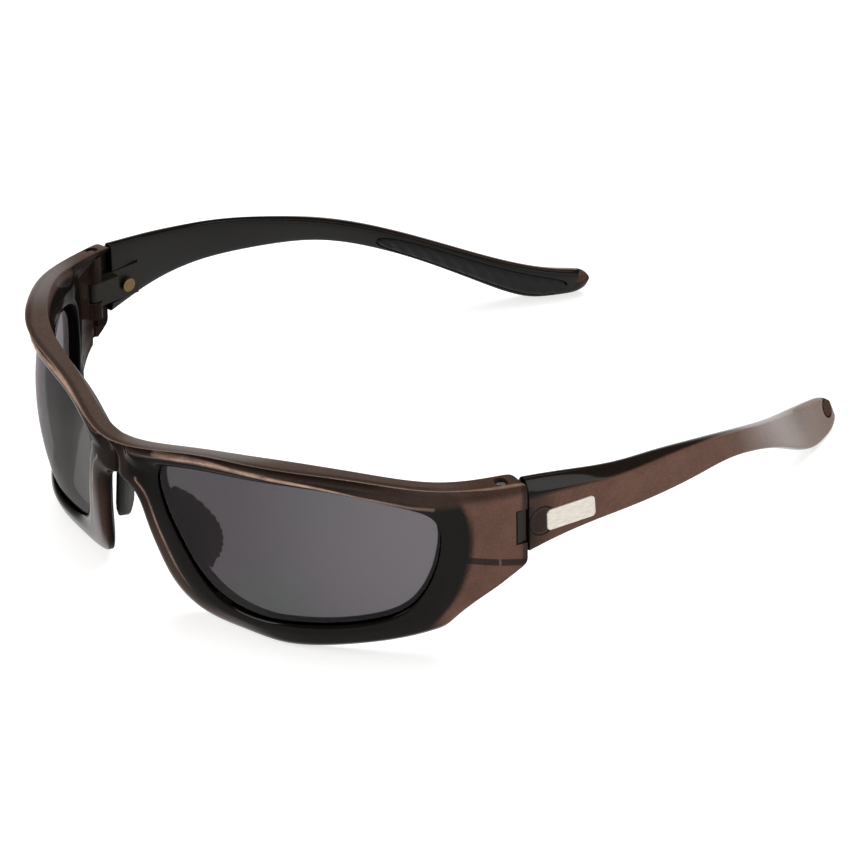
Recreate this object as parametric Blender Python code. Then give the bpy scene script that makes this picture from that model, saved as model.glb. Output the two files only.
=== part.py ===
"""Wraparound safety glasses: frame, lenses, folding temples and the small hardware of the hinges.

Design units are millimetres: +X is the wearer's left, the front faces -Y, +Z is up, and Z = 0 is the
table the glasses stand on, open, on their two rims and two temple tips. Objects are in metres, with the
world origin under the middle of the box the glasses fill.
"""
import math

import bmesh
import bpy
import numpy as np
from mathutils import Vector

MM = 0.001
GAP = 0.3                      # clearance between neighbouring pieces
LENGTH = 159.6                 # front of the bridge to the end of the temples
HALF_LENGTH = LENGTH / 2

# Front, as a wrapped sheet: s runs along the brow from the bridge to the hinge, z is height.
PLAN_S = (0.0, 20.7, 39.2, 56.8, 74.1, 93.1)
PLAN_X = (0.0, 20.0, 38.0, 52.0, 63.0, 69.0)
PLAN_Y = (0.0, 5.4, 9.7, 20.3, 33.7, 51.75)
BROW_TOP = (37.5, 40.1, 42.7, 41.9, 39.1, 37.2)
BROW_WIDTH = (4.6, 4.1, 5.2, 4.3, 3.8, 4.2)
BROW_RISE = (-0.35, -0.43, -0.28, -0.03, 0.33, 0.6)
FACE_SET_BACK = 2.2            # rim face behind the brow's front edge, where it is furthest forward
FACE_CURVE = 3.8               # extra set-back of the face at the table, from its upright curve
FACE_CROWN_Z = 30.0
RIM_DEPTH = 3.8                # front to back through a rim
END_DEPTH = 2.0                # skin of the side panel at the hinge end
END_Y = 51.6                   # parting plane between frame and temple

# Opening and outer outline, matched station by station: opening s, z, outline s, z, corner flag.
STATIONS = (
    (12.6, 33.4, 0.0, 37.5, 1), (16.0, 34.8, 11.0, 38.8, 0), (26.0, 36.4, 24.0, 40.6, 0),
    (38.0, 38.1, 38.0, 42.6, 0), (50.0, 38.1, 52.0, 42.2, 0), (60.0, 36.4, 64.5, 40.8, 0),
    (68.4, 34.2, 78.0, 38.6, 0), (73.4, 31.7, 93.1, 37.2, 1), (75.0, 28.0, 93.1, 31.2, 0),
    (74.9, 24.2, 93.1, 25.2, 0), (73.9, 20.0, 93.1, 19.2, 1), (71.9, 15.6, 84.8, 14.2, 0),
    (68.6, 11.6, 77.0, 5.5, 1), (61.6, 8.2, 65.0, 2.9, 0), (52.0, 6.4, 53.5, 1.0, 0),
    (40.5, 5.7, 40.0, 0.0, 0), (29.5, 5.2, 28.0, 0.0, 0), (23.2, 7.0, 19.5, 0.6, 0),
    (18.8, 12.4, 13.8, 5.4, 0), (15.8, 18.8, 10.5, 12.8, 0), (13.6, 24.0, 8.1, 19.7, 0),
    (12.4, 28.0, 5.0, 26.4, 0), (12.0, 30.3, 0.0, 28.6, 1), (12.1, 32.0, 0.0, 33.0, 0),
)
COLUMNS_PER_STATION = 3
TOP_SPAN = 7                   # stations 0..7 run along the brow
END_SPAN = 10                  # stations 7..10 run down the parting plane
ROWS = (0.0, 0.12, 0.3, 0.52, 0.7, 0.85, 1.0)
BROW_PROFILE = (-0.2, -0.95, -1.5, -1.4, 0.0, -0.6, 0.0)
RIM_PROFILE = (-0.2, -0.5, -0.7, -0.6, -0.4, 0.2, 1.1)

# Lenses
LENS_THICKNESS = 2.0
LENS_INSET = 0.6               # lens face behind the rim face
LENS_DOME = 1.1                # how far the middle of a lens bows forward of its edge
LENS_OVERLAP = 1.1             # lens edge beyond the opening, inside the groove
LENS_RINGS = 5

# Hinges
AXIS_X = 66.0
AXIS_Y = 47.2
KNUCKLE_R = 1.5
KNUCKLE_Z = (26.2, 30.4)
KNUCKLE_BORE_R = 0.75
SHANK_R = 0.65
HEAD_R = 1.1
HEAD_H = 1.0
SCREW_TOP_Z = 37.3
SCREW_BOTTOM_Z = 22.6
NUT_R = 1.1
NUT_Z = (23.2, 25.2)
LUG_Z = (22.2, 36.6)
LUG_R = 1.9
JOG_Y = 49.1                   # the frame's skin stops here beside the hinge block
JOG_Z = (24.1, 31.1)           # height of the block's part that fills the jog

# Temples: y, top edge x and z, bottom edge x and z
TEMPLE = (
    (51.9, 69.0, 37.6, 69.2, 21.5), (62.7, 69.7, 35.9, 70.4, 23.4), (73.6, 69.6, 33.9, 70.9, 23.9),
    (84.5, 68.3, 32.1, 70.4, 23.5), (95.4, 66.3, 29.6, 68.7, 22.7), (106.3, 63.5, 26.5, 65.9, 21.3),
    (117.2, 59.4, 22.5, 61.8, 17.6), (128.1, 53.5, 17.6, 56.6, 12.2), (139.0, 46.6, 12.5, 50.9, 5.6),
    (150.0, 40.8, 8.3, 45.3, 0.2), (159.6, 37.6, 5.9, 40.9, 0.6),
)
TEMPLE_STATIONS = 38
TEMPLE_TIP = 4.0               # length of the rounded end
ARM_PROFILE = (                # outline of an arm: through the thickness, up the height
    (-0.55, 1.0), (0.1, 1.0), (0.6, 0.84), (0.92, 0.5), (1.0, 0.1), (1.0, -0.6), (0.93, -0.9),
    (0.6, -1.0), (-0.5, -1.0), (-0.9, -0.85), (-1.0, -0.5), (-1.0, 0.0), (-1.0, 0.5), (-0.9, 0.85),
)

# Inserts, in a pocket of the arm's inner face
POCKET_Y = (50.0, 59.3)
POCKET_Z = (23.8, 31.4)
POCKET_X = (55.0, 67.5)
BLOCK_X = 65.8                 # inner face of the insert
BOSS = (55.3, 27.7)            # middle (y, z) of the round boss under the arm's skin
BOSS_R = 2.6
BOSS_TOP = 67.6
INSERT_SCREW = (55.8, 27.2)    # middle (y, z) of the screw that holds the insert
INSERT_SCREW_LEVELS = ((64.7, 1.5), (65.5, 1.5), (65.51, 0.75), (66.2, 0.75))
INSERT_SCREW_BORE_R = 1.05
INSERT_SCREW_BORE_X = 66.5

# Side plates, in the arm's outer face
BADGE_Y = (56.0, 67.2)
BADGE_Z = (27.35, 27.45)
BADGE_HEIGHT = (4.5, 4.4)
BADGE_DEPTH = 0.5
BADGE_CORNER = 0.9

# Grips, in the arm's inner face
GRIP_Y = (118.0, 154.5)
GRIP_RIBS = 12

# Nose pads
PAD_TOP = 25.6
PAD_BOTTOM = 8.4
PAD_STAND = 0.95               # pad's front edge behind the back of the nasal bar
PAD_LEAN = math.radians(35.0)  # how far a pad splays outward as it runs back
PAD_THICKNESS = 1.8
PAD_TEETH = 12


def cubic(knots, values, start=None, end=None):
    """Cubic spline through the knots, clamped to a slope at either end where one is given."""
    t = np.asarray(knots, float)
    v = np.asarray(values, float)
    h = np.diff(t)
    n = len(t)
    a = np.zeros((n, n))
    r = np.zeros(n)
    for i in range(1, n - 1):
        a[i, i - 1:i + 2] = h[i - 1], 2 * (h[i - 1] + h[i]), h[i]
        r[i] = 6 * ((v[i + 1] - v[i]) / h[i] - (v[i] - v[i - 1]) / h[i - 1])
    a[0, 0] = 1.0
    a[-1, -1] = 1.0
    if start is not None:
        a[0, :2] = 2 * h[0], h[0]
        r[0] = 6 * ((v[1] - v[0]) / h[0] - start)
    if end is not None:
        a[-1, -2:] = h[-1], 2 * h[-1]
        r[-1] = 6 * (end - (v[-1] - v[-2]) / h[-1])
    m = np.linalg.solve(a, r)

    def at(x):
        x = np.asarray(x, float)
        k = np.clip(np.searchsorted(t, x) - 1, 0, n - 2)
        left = t[k + 1] - x
        right = x - t[k]
        bend = (m[k] * left ** 3 + m[k + 1] * right ** 3) / (6 * h[k])
        line = (v[k] / h[k] - m[k] * h[k] / 6) * left + (v[k + 1] / h[k] - m[k + 1] * h[k] / 6) * right
        return bend + line

    return at


plan_x = cubic(PLAN_S, PLAN_X, start=1.0)
plan_y = cubic(PLAN_S, PLAN_Y, start=0.0)
brow_top = cubic(PLAN_S, BROW_TOP, start=0.0)
brow_width = cubic(PLAN_S, BROW_WIDTH, start=0.0)
brow_rise = cubic(PLAN_S, BROW_RISE, start=0.0)


def place(s, z, depth):
    """Point of the wrapped front: along the brow, up, and inward from the brow's front edge."""
    step = 0.01
    dx = float(plan_x(s + step) - plan_x(s - step)) if s > step else 2 * step
    dy = float(plan_y(s + step) - plan_y(s - step)) if s > step else 0.0
    size = math.hypot(dx, dy)
    return np.array((float(plan_x(s)) - dy / size * depth, float(plan_y(s)) + dx / size * depth, z))


def face(z):
    """Depth of the rims' front face at a height."""
    return FACE_SET_BACK + FACE_CURVE * ((FACE_CROWN_Z - z) / FACE_CROWN_Z) ** 2


def clear_objects():
    for obj in list(bpy.data.objects):
        bpy.data.objects.remove(obj, do_unlink=True)


def material(name, color, roughness, metallic=0.0, transmission=0.0):
    mat = bpy.data.materials.new(name)
    mat.use_nodes = True
    shader = mat.node_tree.nodes["Principled BSDF"]
    shader.inputs["Base Color"].default_value = (*color, 1.0)
    shader.inputs["Roughness"].default_value = roughness
    shader.inputs["Metallic"].default_value = metallic
    shader.inputs["Transmission Weight"].default_value = transmission
    return mat


def world(point):
    return Vector((point[0] * MM, (point[1] - HALF_LENGTH) * MM, point[2] * MM))


def build(name, points, faces, mat, origin=None, parent=None):
    """Closed mesh object from design points; its own origin can sit on a joint axis."""
    shift = world(origin) if origin is not None else Vector((0, 0, 0))
    mesh = bpy.data.meshes.new(name)
    mesh.from_pydata([world(p) - shift for p in points], [], faces)
    bm = bmesh.new()
    bm.from_mesh(mesh)
    bmesh.ops.remove_doubles(bm, verts=bm.verts, dist=1e-7)
    bmesh.ops.recalc_face_normals(bm, faces=bm.faces)
    bm.to_mesh(mesh)
    bm.free()
    mesh.materials.append(mat)
    obj = bpy.data.objects.new(name, mesh)
    bpy.context.scene.collection.objects.link(obj)
    obj.location = shift
    if parent is not None:
        obj.parent = parent
        obj.location = shift - parent.location
    return obj


def loft(rings):
    """Points and faces of a tube through equal rings, closed by a flat face at each end."""
    count = len(rings[0])
    points = [p for ring in rings for p in ring]
    faces = []
    for r in range(len(rings) - 1):
        for i in range(count):
            j = (i + 1) % count
            faces.append((r * count + i, r * count + j, (r + 1) * count + j, (r + 1) * count + i))
    last = (len(rings) - 1) * count
    faces.append(tuple(range(count)))
    faces.append(tuple(range(last, last + count)))
    return points, faces


def disc(radius, axis, at, centre, sides=20):
    """Ring of points round a centre; the axis is 'x' or 'z' and 'at' the height along it."""
    ring = []
    for k in range(sides):
        a = 2 * math.pi * k / sides
        u = radius * math.cos(a)
        v = radius * math.sin(a)
        if axis == "z":
            ring.append(np.array((centre[0] + u, centre[1] + v, at)))
        else:
            ring.append(np.array((at, centre[0] + u, centre[1] + v)))
    return ring


def turned(levels, axis, centre, sides=20):
    """Solid of revolution from (position, radius) levels."""
    return loft([disc(radius, axis, at, centre, sides) for at, radius in levels])


def prism(outline, low, high, axis="z"):
    """Straight extrusion of a plan outline (x, y) up z, or of a side outline (y, z) along x."""
    if axis == "z":
        return loft([[np.array((u, v, w)) for u, v in outline] for w in (low, high)])
    return loft([[np.array((w, u, v)) for u, v in outline] for w in (low, high)])


def rectangle(u0, u1, v0, v1):
    return ((u0, v0), (u1, v0), (u1, v1), (u0, v1))


def flip(shape, side):
    """Mirror a (points, faces) pair to the wearer's right when side is -1."""
    points, faces = shape
    return [np.array((p[0] * side, p[1], p[2])) for p in points], faces


def boolean(obj, shapes, operation="DIFFERENCE"):
    """Cut or join closed shapes, then keep the result as the object's own mesh."""
    tools = []
    for k, (points, faces) in enumerate(shapes):
        tool = build(f"{obj.name}_tool_{k}", points, faces, obj.data.materials[0])
        tool.hide_render = True
        tool.display_type = "WIRE"
        mod = obj.modifiers.new(f"shape_{k}", "BOOLEAN")
        mod.operation = operation
        mod.solver = "EXACT"
        mod.object = tool
        tools.append(tool)
    bpy.context.view_layer.update()
    graph = bpy.context.evaluated_depsgraph_get()
    mesh = bpy.data.meshes.new_from_object(obj.evaluated_get(graph))
    obj.modifiers.clear()
    obj.data = mesh
    for tool in tools:
        bpy.data.objects.remove(tool, do_unlink=True)


def chord_curve(points, closed):
    """Smooth curve through plane points, by chord length."""
    pts = np.array(points, float)
    if closed:
        wrap = 4
        pts = np.vstack([pts[-wrap:], pts, pts[:wrap + 1]])
    length = np.concatenate([[0.0], np.cumsum(np.linalg.norm(np.diff(pts, axis=0), axis=1))])
    along = [cubic(length, pts[:, k]) for k in range(2)]
    if closed:
        length = length[wrap:-wrap]

    def at(index):
        """Point at a station index; the fraction runs evenly to the next station."""
        base = int(math.floor(index))
        base = min(base, len(length) - 2)
        t = length[base] + (index - base) * (length[base + 1] - length[base])
        return np.array([float(axis(t)) for axis in along])

    return at


def outlines():
    """Matched columns of opening and outer outline points (s, z)."""
    count = len(STATIONS)
    opening = chord_curve([row[:2] for row in STATIONS], closed=True)
    corners = [i for i, row in enumerate(STATIONS) if row[4]]
    pieces = []
    for a, b in zip(corners, corners[1:] + [corners[0] + count]):
        pieces.append((a, b, chord_curve([STATIONS[i % count][2:4] for i in range(a, b + 1)], closed=False)))
    inner = []
    outer = []
    index = []
    for k in range(count * COLUMNS_PER_STATION):
        t = k / COLUMNS_PER_STATION
        inner.append(opening(t))
        for a, b, curve in pieces:
            if a <= t < b:
                outer.append(curve(t - a))
        index.append(t)
    for k, t in enumerate(index):
        if t <= TOP_SPAN:
            outer[k][1] = float(brow_top(outer[k][0]))
    return np.array(inner), np.array(outer), index


def brow_share(t):
    """1 on the brow, falling to 0 past its ends."""
    if t <= TOP_SPAN:
        return 1.0
    last = len(STATIONS)
    return max(0.0, 1.0 - (t - TOP_SPAN)) if t < END_SPAN else max(0.0, 1.0 - (last - t))


def ease(x, low, high):
    """0 below low, 1 above high, smooth between."""
    f = min(1.0, max(0.0, (x - low) / (high - low)))
    return f * f * (3 - 2 * f)


def end_share(s):
    """0 at the rim, 1 at the hinge end, where the panel's skin is the brow line itself."""
    return ease(s, 76.0, 88.0)


def to_parting_plane(point):
    """Slide a point of the hinge end along the plan curve onto the parting plane."""
    dx = float(plan_x(93.1) - plan_x(93.0))
    dy = float(plan_y(93.1) - plan_y(93.0))
    return point + np.array((dx / dy, 1.0, 0.0)) * (END_Y - point[1])


def front_half():
    """Points by [sheet][row][column] for the half with x >= 0; sheet 0 is the front, 1 the back."""
    inner, outer, index = outlines()
    front = []
    back = []
    for row, v in enumerate(ROWS):
        front_row = []
        back_row = []
        for k, t in enumerate(index):
            s, z = inner[k] * (1 - v) + outer[k] * v
            brow = brow_share(t)
            end = end_share(s)
            shape = BROW_PROFILE[row] * brow + RIM_PROFILE[row] * (1 - brow)
            depth = (face(z) + shape) * (1 - end)
            if t <= TOP_SPAN and v == 1.0:
                depth = 0.0
            elif brow > 0 and v > 0.8:
                depth = depth * (1 - 0.25 * brow)
            past_lens = ease(s, 75.5, 79.5)
            thick = RIM_DEPTH * (1 - past_lens) + END_DEPTH * past_lens
            rear = face(z) * (1 - end) + thick - 1.7 * (1 - end) * v ** 3
            low = 0.0
            if t <= TOP_SPAN:
                width = float(brow_width(s))
                rear = rear * (1 - v ** 2) + width * v ** 2
                low = float(brow_rise(s)) * v ** 2
            point = place(s, max(z, 0.0), depth)
            behind = place(s, max(z + low, 0.0), max(rear, depth + 1.2))
            if v == 1.0 and TOP_SPAN <= t <= END_SPAN:
                point = to_parting_plane(point)
                behind = to_parting_plane(behind)
            if v == 1.0 and (t == 0 or t >= len(STATIONS) - 2):
                point[0] = 0.0
                behind[0] = 0.0
            front_row.append(point)
            back_row.append(behind)
        front.append(front_row)
        back.append(back_row)
    return front, back, inner, index


def groove_walls(inner):
    """Two rings of the lens groove, cut outward from the opening between front and back lips."""
    reach = LENS_OVERLAP + GAP
    rings = []
    for extra in (LENS_INSET - GAP, LENS_INSET + LENS_THICKNESS + GAP):
        for far in (False, True) if extra < LENS_INSET else (True, False):
            ring = []
            for k in range(len(inner)):
                s, z = widened(inner, k, reach if far else 0.0)
                ring.append(place(s, z, face(z) + extra))
            rings.append(ring)
    return rings


def widened(curve, k, distance):
    """Point k of a closed plane curve, moved outward (the curve runs clockwise seen from the front)."""
    before = curve[k - 1]
    after = curve[(k + 1) % len(curve)]
    tangent = (after - before) / np.linalg.norm(after - before)
    return curve[k] + np.array((-tangent[1], tangent[0])) * distance


def front_frame(mat):
    front, back, inner, index = front_half()
    walls = groove_walls(inner)
    rows = front[::-1] + walls + back
    count = len(index)
    seam_first = (len(STATIONS) - 2) * COLUMNS_PER_STATION
    points = []
    faces = []
    for side in (1, -1):
        base = len(points)
        for row in rows:
            points.extend(np.array((p[0] * side, p[1], p[2])) for p in row)
        for r in range(len(rows)):
            following = (r + 1) % len(rows)
            for k in range(count):
                m = (k + 1) % count
                if following == 0 and k >= seam_first:
                    continue
                faces.append((base + r * count + k, base + r * count + m,
                              base + following * count + m, base + following * count + k))
    obj = build("front_frame", points, faces, mat)
    boolean(obj, [hinge_lug(side) for side in (1, -1)], "UNION")
    boolean(obj, [shape for side in (1, -1) for shape in hinge_cuts(side)])
    return obj


def hinge_lug(side):
    """Post on the inside of the frame's end that carries the hinge screw."""
    outline = [(67.7, AXIS_Y + LUG_R)]
    outline += [(AXIS_X - LUG_R * math.sin(a), AXIS_Y + LUG_R * math.cos(a))
                for a in np.linspace(0, math.pi, 13)]
    outline.append((67.2, AXIS_Y - LUG_R))
    return flip(prism(outline, *LUG_Z), side)


def hinge_cuts(side):
    """What the frame's end loses to the knuckle, the screw and its nut."""
    near = AXIS_X + KNUCKLE_R + GAP
    low = KNUCKLE_Z[0] - GAP
    high = KNUCKLE_Z[1] + GAP
    front_y = AXIS_Y - KNUCKLE_R - GAP
    pocket = [(40.0, front_y), (AXIS_X, front_y)]
    pocket += [(AXIS_X + (near - AXIS_X) * math.sin(a), AXIS_Y - (near - AXIS_X) * math.cos(a))
               for a in np.linspace(math.pi / 14, math.pi / 2, 7)]
    pocket += [(near, 60.0), (40.0, 60.0)]
    axis = (AXIS_X, AXIS_Y)
    shapes = [
        prism(pocket, low, high),
        prism(rectangle(64.8, 80.0, JOG_Y, 60.0), JOG_Z[0] - GAP, JOG_Z[1] + GAP),
        turned(((KNUCKLE_Z[1], SHANK_R + GAP), (SCREW_TOP_Z - HEAD_H - GAP, SHANK_R + GAP),
                (SCREW_TOP_Z - HEAD_H - GAP + 0.01, HEAD_R + GAP), (45.0, HEAD_R + GAP)), "z", axis),
        turned(((NUT_Z[0] - GAP, SHANK_R + GAP), (NUT_Z[0] - GAP + 0.01, NUT_R + GAP),
                (KNUCKLE_Z[0], NUT_R + GAP)), "z", axis),
        turned(((10.0, SHANK_R + GAP), (NUT_Z[0], SHANK_R + GAP)), "z", axis),
    ]
    return [flip(shape, side) for shape in shapes]


def lens(mat):
    inner, _, index = outlines()
    edge = np.array([widened(inner, k, LENS_OVERLAP) for k in range(len(inner))])
    centre = edge.mean(axis=0)
    count = len(edge)
    points = []
    faces = []
    for depth in (LENS_INSET, LENS_INSET + LENS_THICKNESS):
        for ring in range(1, LENS_RINGS + 1):
            for k in range(count):
                reach = ring / LENS_RINGS
                s, z = centre + (edge[k] - centre) * reach
                points.append(place(s, z, face(z) + depth - LENS_DOME * (1 - reach ** 2)))
        points.append(place(centre[0], centre[1], face(centre[1]) + depth - LENS_DOME))
    sheet = LENS_RINGS * count + 1
    for first in (0, sheet):
        for ring in range(LENS_RINGS - 1):
            a = first + ring * count
            for k in range(count):
                m = (k + 1) % count
                faces.append((a + k, a + m, a + count + m, a + count + k))
        for k in range(count):
            faces.append((first + k, first + (k + 1) % count, first + sheet - 1))
    rim = (LENS_RINGS - 1) * count
    for k in range(count):
        m = (k + 1) % count
        faces.append((rim + k, rim + m, sheet + rim + m, sheet + rim + k))
    return build("lens_left", points, faces, mat)


def pad_outline():
    """Closed outline of a pad in its own plane: (back, up)."""
    outline = [(0.5, PAD_BOTTOM + 1.2), (0.1, PAD_BOTTOM + 3.0), (0.0, PAD_BOTTOM + 5.0),
               (0.0, PAD_TOP - 2.0), (0.4, PAD_TOP - 0.8)]
    steps = PAD_TEETH * 4
    for k in range(steps + 1):
        f = k / steps
        up = PAD_TOP - (PAD_TOP - PAD_BOTTOM) * f
        bulge = math.sin(math.pi * (0.07 + 0.86 * f) ** 0.9)
        tooth = 0.5 * (k % 4 in (1, 2)) * (0.08 < f < 0.86)
        outline.append((1.2 + 6.9 * bulge + tooth, up))
    return outline


def nose_pad(mat):
    outline = pad_outline()
    along = np.array((math.sin(PAD_LEAN), math.cos(PAD_LEAN), 0.0))
    across = np.array((math.cos(PAD_LEAN), -math.sin(PAD_LEAN), 0.0))
    rings = []
    for t in (-0.5, 0.5):
        ring = []
        for back, up in outline:
            start = place(nasal_bar(up), up, face(up) + RIM_DEPTH + PAD_STAND)
            bow = 0.9 * math.sin(math.pi * min(1.0, back / 8.0))
            ring.append(start + along * back + across * (t * PAD_THICKNESS - bow))
        rings.append(ring)
    return build("nose_pad_left", *loft(rings), mat)


def nasal_bar(z):
    """How far along the front the middle of a nasal bar lies at a height."""
    return 8.4 + 0.47 * (26.4 - z)


temple_y = [row[0] for row in TEMPLE]
temple_at = [cubic(temple_y, [row[k] for row in TEMPLE]) for k in range(1, 5)]


def arm_half_depths(y):
    """Outer and inner half thickness of an arm about its edge line."""
    f = min(1.0, max(0.0, (y - 51.9) / 30.0))
    f = f * f * (3 - 2 * f)
    g = min(1.0, max(0.0, (y - 120.0) / 25.0))
    return 0.0 * (1 - f) + 1.3 * f + 0.2 * g, 3.6 * (1 - f) + 1.9 * f - 0.2 * g


def arm_frame(y):
    """Middle, outward and upward vectors of the arm's section at y."""
    xt, zt, xb, zb = (float(f(y)) for f in temple_at)
    top = np.array((xt, y, zt))
    bottom = np.array((xb, y, zb))
    up = top - bottom
    height = float(np.linalg.norm(up))
    up = up / height
    outward = np.array((up[2], 0.0, -up[0]))
    return (top + bottom) / 2, outward, up, height


def arm_section(y):
    middle, outward, up, height = arm_frame(y)
    outer, inner = arm_half_depths(y)
    end = max(0.0, (y - (LENGTH - TEMPLE_TIP)) / TEMPLE_TIP)
    round_off = math.sqrt(max(0.0, 1 - end * end)) * 0.94 + 0.06
    ring = []
    for a, b in ARM_PROFILE:
        through = (outer - inner) / 2 + a * (outer + inner) / 2 * (0.5 + 0.5 * round_off)
        p = middle + outward * through + up * (b * height / 2 * round_off)
        ring.append(np.array((p[0], p[1], max(p[2], 0.0))))
    return ring


def arm_stations():
    straight = np.linspace(51.9, LENGTH - TEMPLE_TIP, TEMPLE_STATIONS)
    tip = [LENGTH - TEMPLE_TIP * (1 - math.sin(a)) for a in np.linspace(0, math.pi / 2, 7)[1:]]
    return list(straight) + tip


def badge_outline(extra):
    """Rounded outline of the plate (y, z), grown by a margin."""
    (y0, y1), (z0, z1), (h0, h1) = BADGE_Y, BADGE_Z, BADGE_HEIGHT
    corners = ((y0 - extra, z0 - h0 / 2 - extra), (y1 + extra, z1 - h1 / 2 - extra),
               (y1 + extra, z1 + h1 / 2 + extra), (y0 - extra, z0 + h0 / 2 + extra))
    outline = []
    r = BADGE_CORNER + extra
    for k, (y, z) in enumerate(corners):
        cy = y + r * (1 if k in (0, 3) else -1)
        cz = z + r * (1 if k in (0, 1) else -1)
        start = math.pi * (1 + k / 2)
        for a in np.linspace(start, start + math.pi / 2, 5):
            outline.append((cy + r * math.cos(a), cz + r * math.sin(a)))
    return outline


def skin_x(y, z):
    """x of the arm's outer face at y, z near the plate."""
    middle, outward, up, height = arm_frame(y)
    outer, _ = arm_half_depths(y)
    p = middle + outward * outer
    lift = (z - p[2]) / up[2]
    return float(p[0] + up[0] * lift)


def badge_shape(extra, top, bottom):
    """Plate or recess that follows the arm's outer face between two offsets from it."""
    outline = badge_outline(extra)
    y0, y1 = BADGE_Y
    rings = []
    for offset in (bottom, top):
        ring = []
        for y, z in outline:
            f = (y - y0) / (y1 - y0)
            base = skin_x(y0, z) * (1 - f) + skin_x(y1, z) * f
            ring.append(np.array((base + offset, y, z)))
        rings.append(ring)
    return loft(rings)


def grip_shape(extra, proud):
    """Soft band on the inner face of a tip; its face carries slanting ribs when proud."""
    y0, y1 = GRIP_Y
    rings = []
    for y in np.linspace(y0 - extra, y1 + extra, 34):
        middle, outward, up, height = arm_frame(y)
        _, inner = arm_half_depths(y)
        f = (y - y0) / (y1 - y0)
        taper = math.sqrt(max(0.0, 1 - (2 * min(max(f, 0.0), 1.0) - 1) ** 6)) * 0.75 + 0.25
        half = height * 0.33 * taper + extra
        face_depth = -inner - (0.3 if proud else 1.0)
        ring = []
        for b in (-1.0, -0.5, 0.0, 0.5, 1.0):
            rib = 0.25 * math.sin(2 * math.pi * (GRIP_RIBS * f + 0.35 * b)) if proud else 0.0
            edge = 0.25 if proud and abs(b) == 1.0 else 0.0
            ring.append(middle + up * (half * b) + outward * (face_depth + edge + rib * (1 - b * b)))
        for b in (1.0, -1.0):
            ring.append(middle + up * (half * b) + outward * (-inner + 0.9 + extra))
        rings.append(ring)
    return loft(rings)


def temple(mats):
    """Left arm and everything that folds with it, under an empty on the hinge axis."""
    axis = (AXIS_X, AXIS_Y, 0.0)
    joint = bpy.data.objects.new("temple_left_axis", None)
    joint.location = world(axis)
    bpy.context.scene.collection.objects.link(joint)
    arm = build("temple_arm_left", *loft([arm_section(y) for y in arm_stations()]), mats["bronze"], axis, joint)
    boolean(arm, [
        prism(rectangle(POCKET_X[0], POCKET_X[1], *POCKET_Y), *POCKET_Z),
        turned(((POCKET_X[1] - 0.5, BOSS_R + GAP), (BOSS_TOP + GAP, BOSS_R + GAP)), "x", BOSS),
        badge_shape(GAP, 3.0, -BADGE_DEPTH - GAP),
        grip_shape(GAP, False),
    ])
    screw = turned(INSERT_SCREW_LEVELS, "x", INSERT_SCREW)
    return [
        arm,
        hinge_block(mats["black"], axis, joint),
        build("insert_screw_left", *screw, mats["brass"], axis, joint),
        build("badge_left", *badge_shape(0.0, 0.15, -BADGE_DEPTH), mats["silver"], axis, joint),
        build("temple_grip_left", *grip_shape(0.0, True), mats["grip"], axis, joint),
    ]


def hinge_block(mat, axis, joint):
    """Black insert: body in the arm's pocket, knuckle round the hinge screw, round boss under the skin."""
    low, high = KNUCKLE_Z
    body = prism(rectangle(BLOCK_X, POCKET_X[1] - GAP, 52.2, POCKET_Y[1] - GAP),
                 POCKET_Z[0] + GAP, POCKET_Z[1] - GAP)
    block = build("hinge_block_left", *body, mat, axis, joint)
    web = [(AXIS_X - KNUCKLE_R, 53.0), (AXIS_X - KNUCKLE_R, AXIS_Y)]
    web += [(AXIS_X - KNUCKLE_R * math.cos(a), AXIS_Y - KNUCKLE_R * math.sin(a))
            for a in np.linspace(0, math.pi, 17)[1:-1]]
    web += [(AXIS_X + KNUCKLE_R, AXIS_Y), (AXIS_X + KNUCKLE_R, END_Y), (AXIS_X + 1.1, END_Y),
            (AXIS_X + 1.1, 53.0)]
    filler = ((BLOCK_X, JOG_Y + GAP), (68.4, JOG_Y + GAP), (68.4, END_Y), (67.1, END_Y), (67.1, 53.0),
              (BLOCK_X, 53.0))
    boss = turned(((POCKET_X[1] - 1.0, BOSS_R), (BOSS_TOP, BOSS_R)), "x", BOSS)
    boolean(block, [prism(web, low, high), prism(filler, *JOG_Z), boss], "UNION")
    bore = turned(((low - 1, KNUCKLE_BORE_R), (high + 1, KNUCKLE_BORE_R)), "z", (AXIS_X, AXIS_Y))
    seat = turned(((60.0, INSERT_SCREW_BORE_R), (INSERT_SCREW_BORE_X, INSERT_SCREW_BORE_R)),
                  "x", INSERT_SCREW)
    boolean(block, [bore, seat])
    return block


def hinge_hardware(mats):
    """Upright hinge screw of the left end and the nut it runs into."""
    axis = (AXIS_X, AXIS_Y)
    top = SCREW_TOP_Z
    screw = turned(((SCREW_BOTTOM_Z, SHANK_R), (top - HEAD_H, SHANK_R), (top - HEAD_H + 0.01, HEAD_R),
                    (top - 0.15, HEAD_R), (top, HEAD_R - 0.15)), "z", axis)
    sides = 20
    rings = [disc(NUT_R, "z", NUT_Z[0], axis, sides), disc(NUT_R, "z", NUT_Z[1], axis, sides),
             disc(SHANK_R + 0.1, "z", NUT_Z[1], axis, sides), disc(SHANK_R + 0.1, "z", NUT_Z[0], axis, sides)]
    points = [p for ring in rings for p in ring]
    faces = []
    for r in range(4):
        for i in range(sides):
            j = (i + 1) % sides
            q = (r + 1) % 4
            faces.append((r * sides + i, r * sides + j, q * sides + j, q * sides + i))
    return [build("hinge_screw_left", *screw, mats["steel"]),
            build("hinge_nut_left", points, faces, mats["brass"])]


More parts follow.
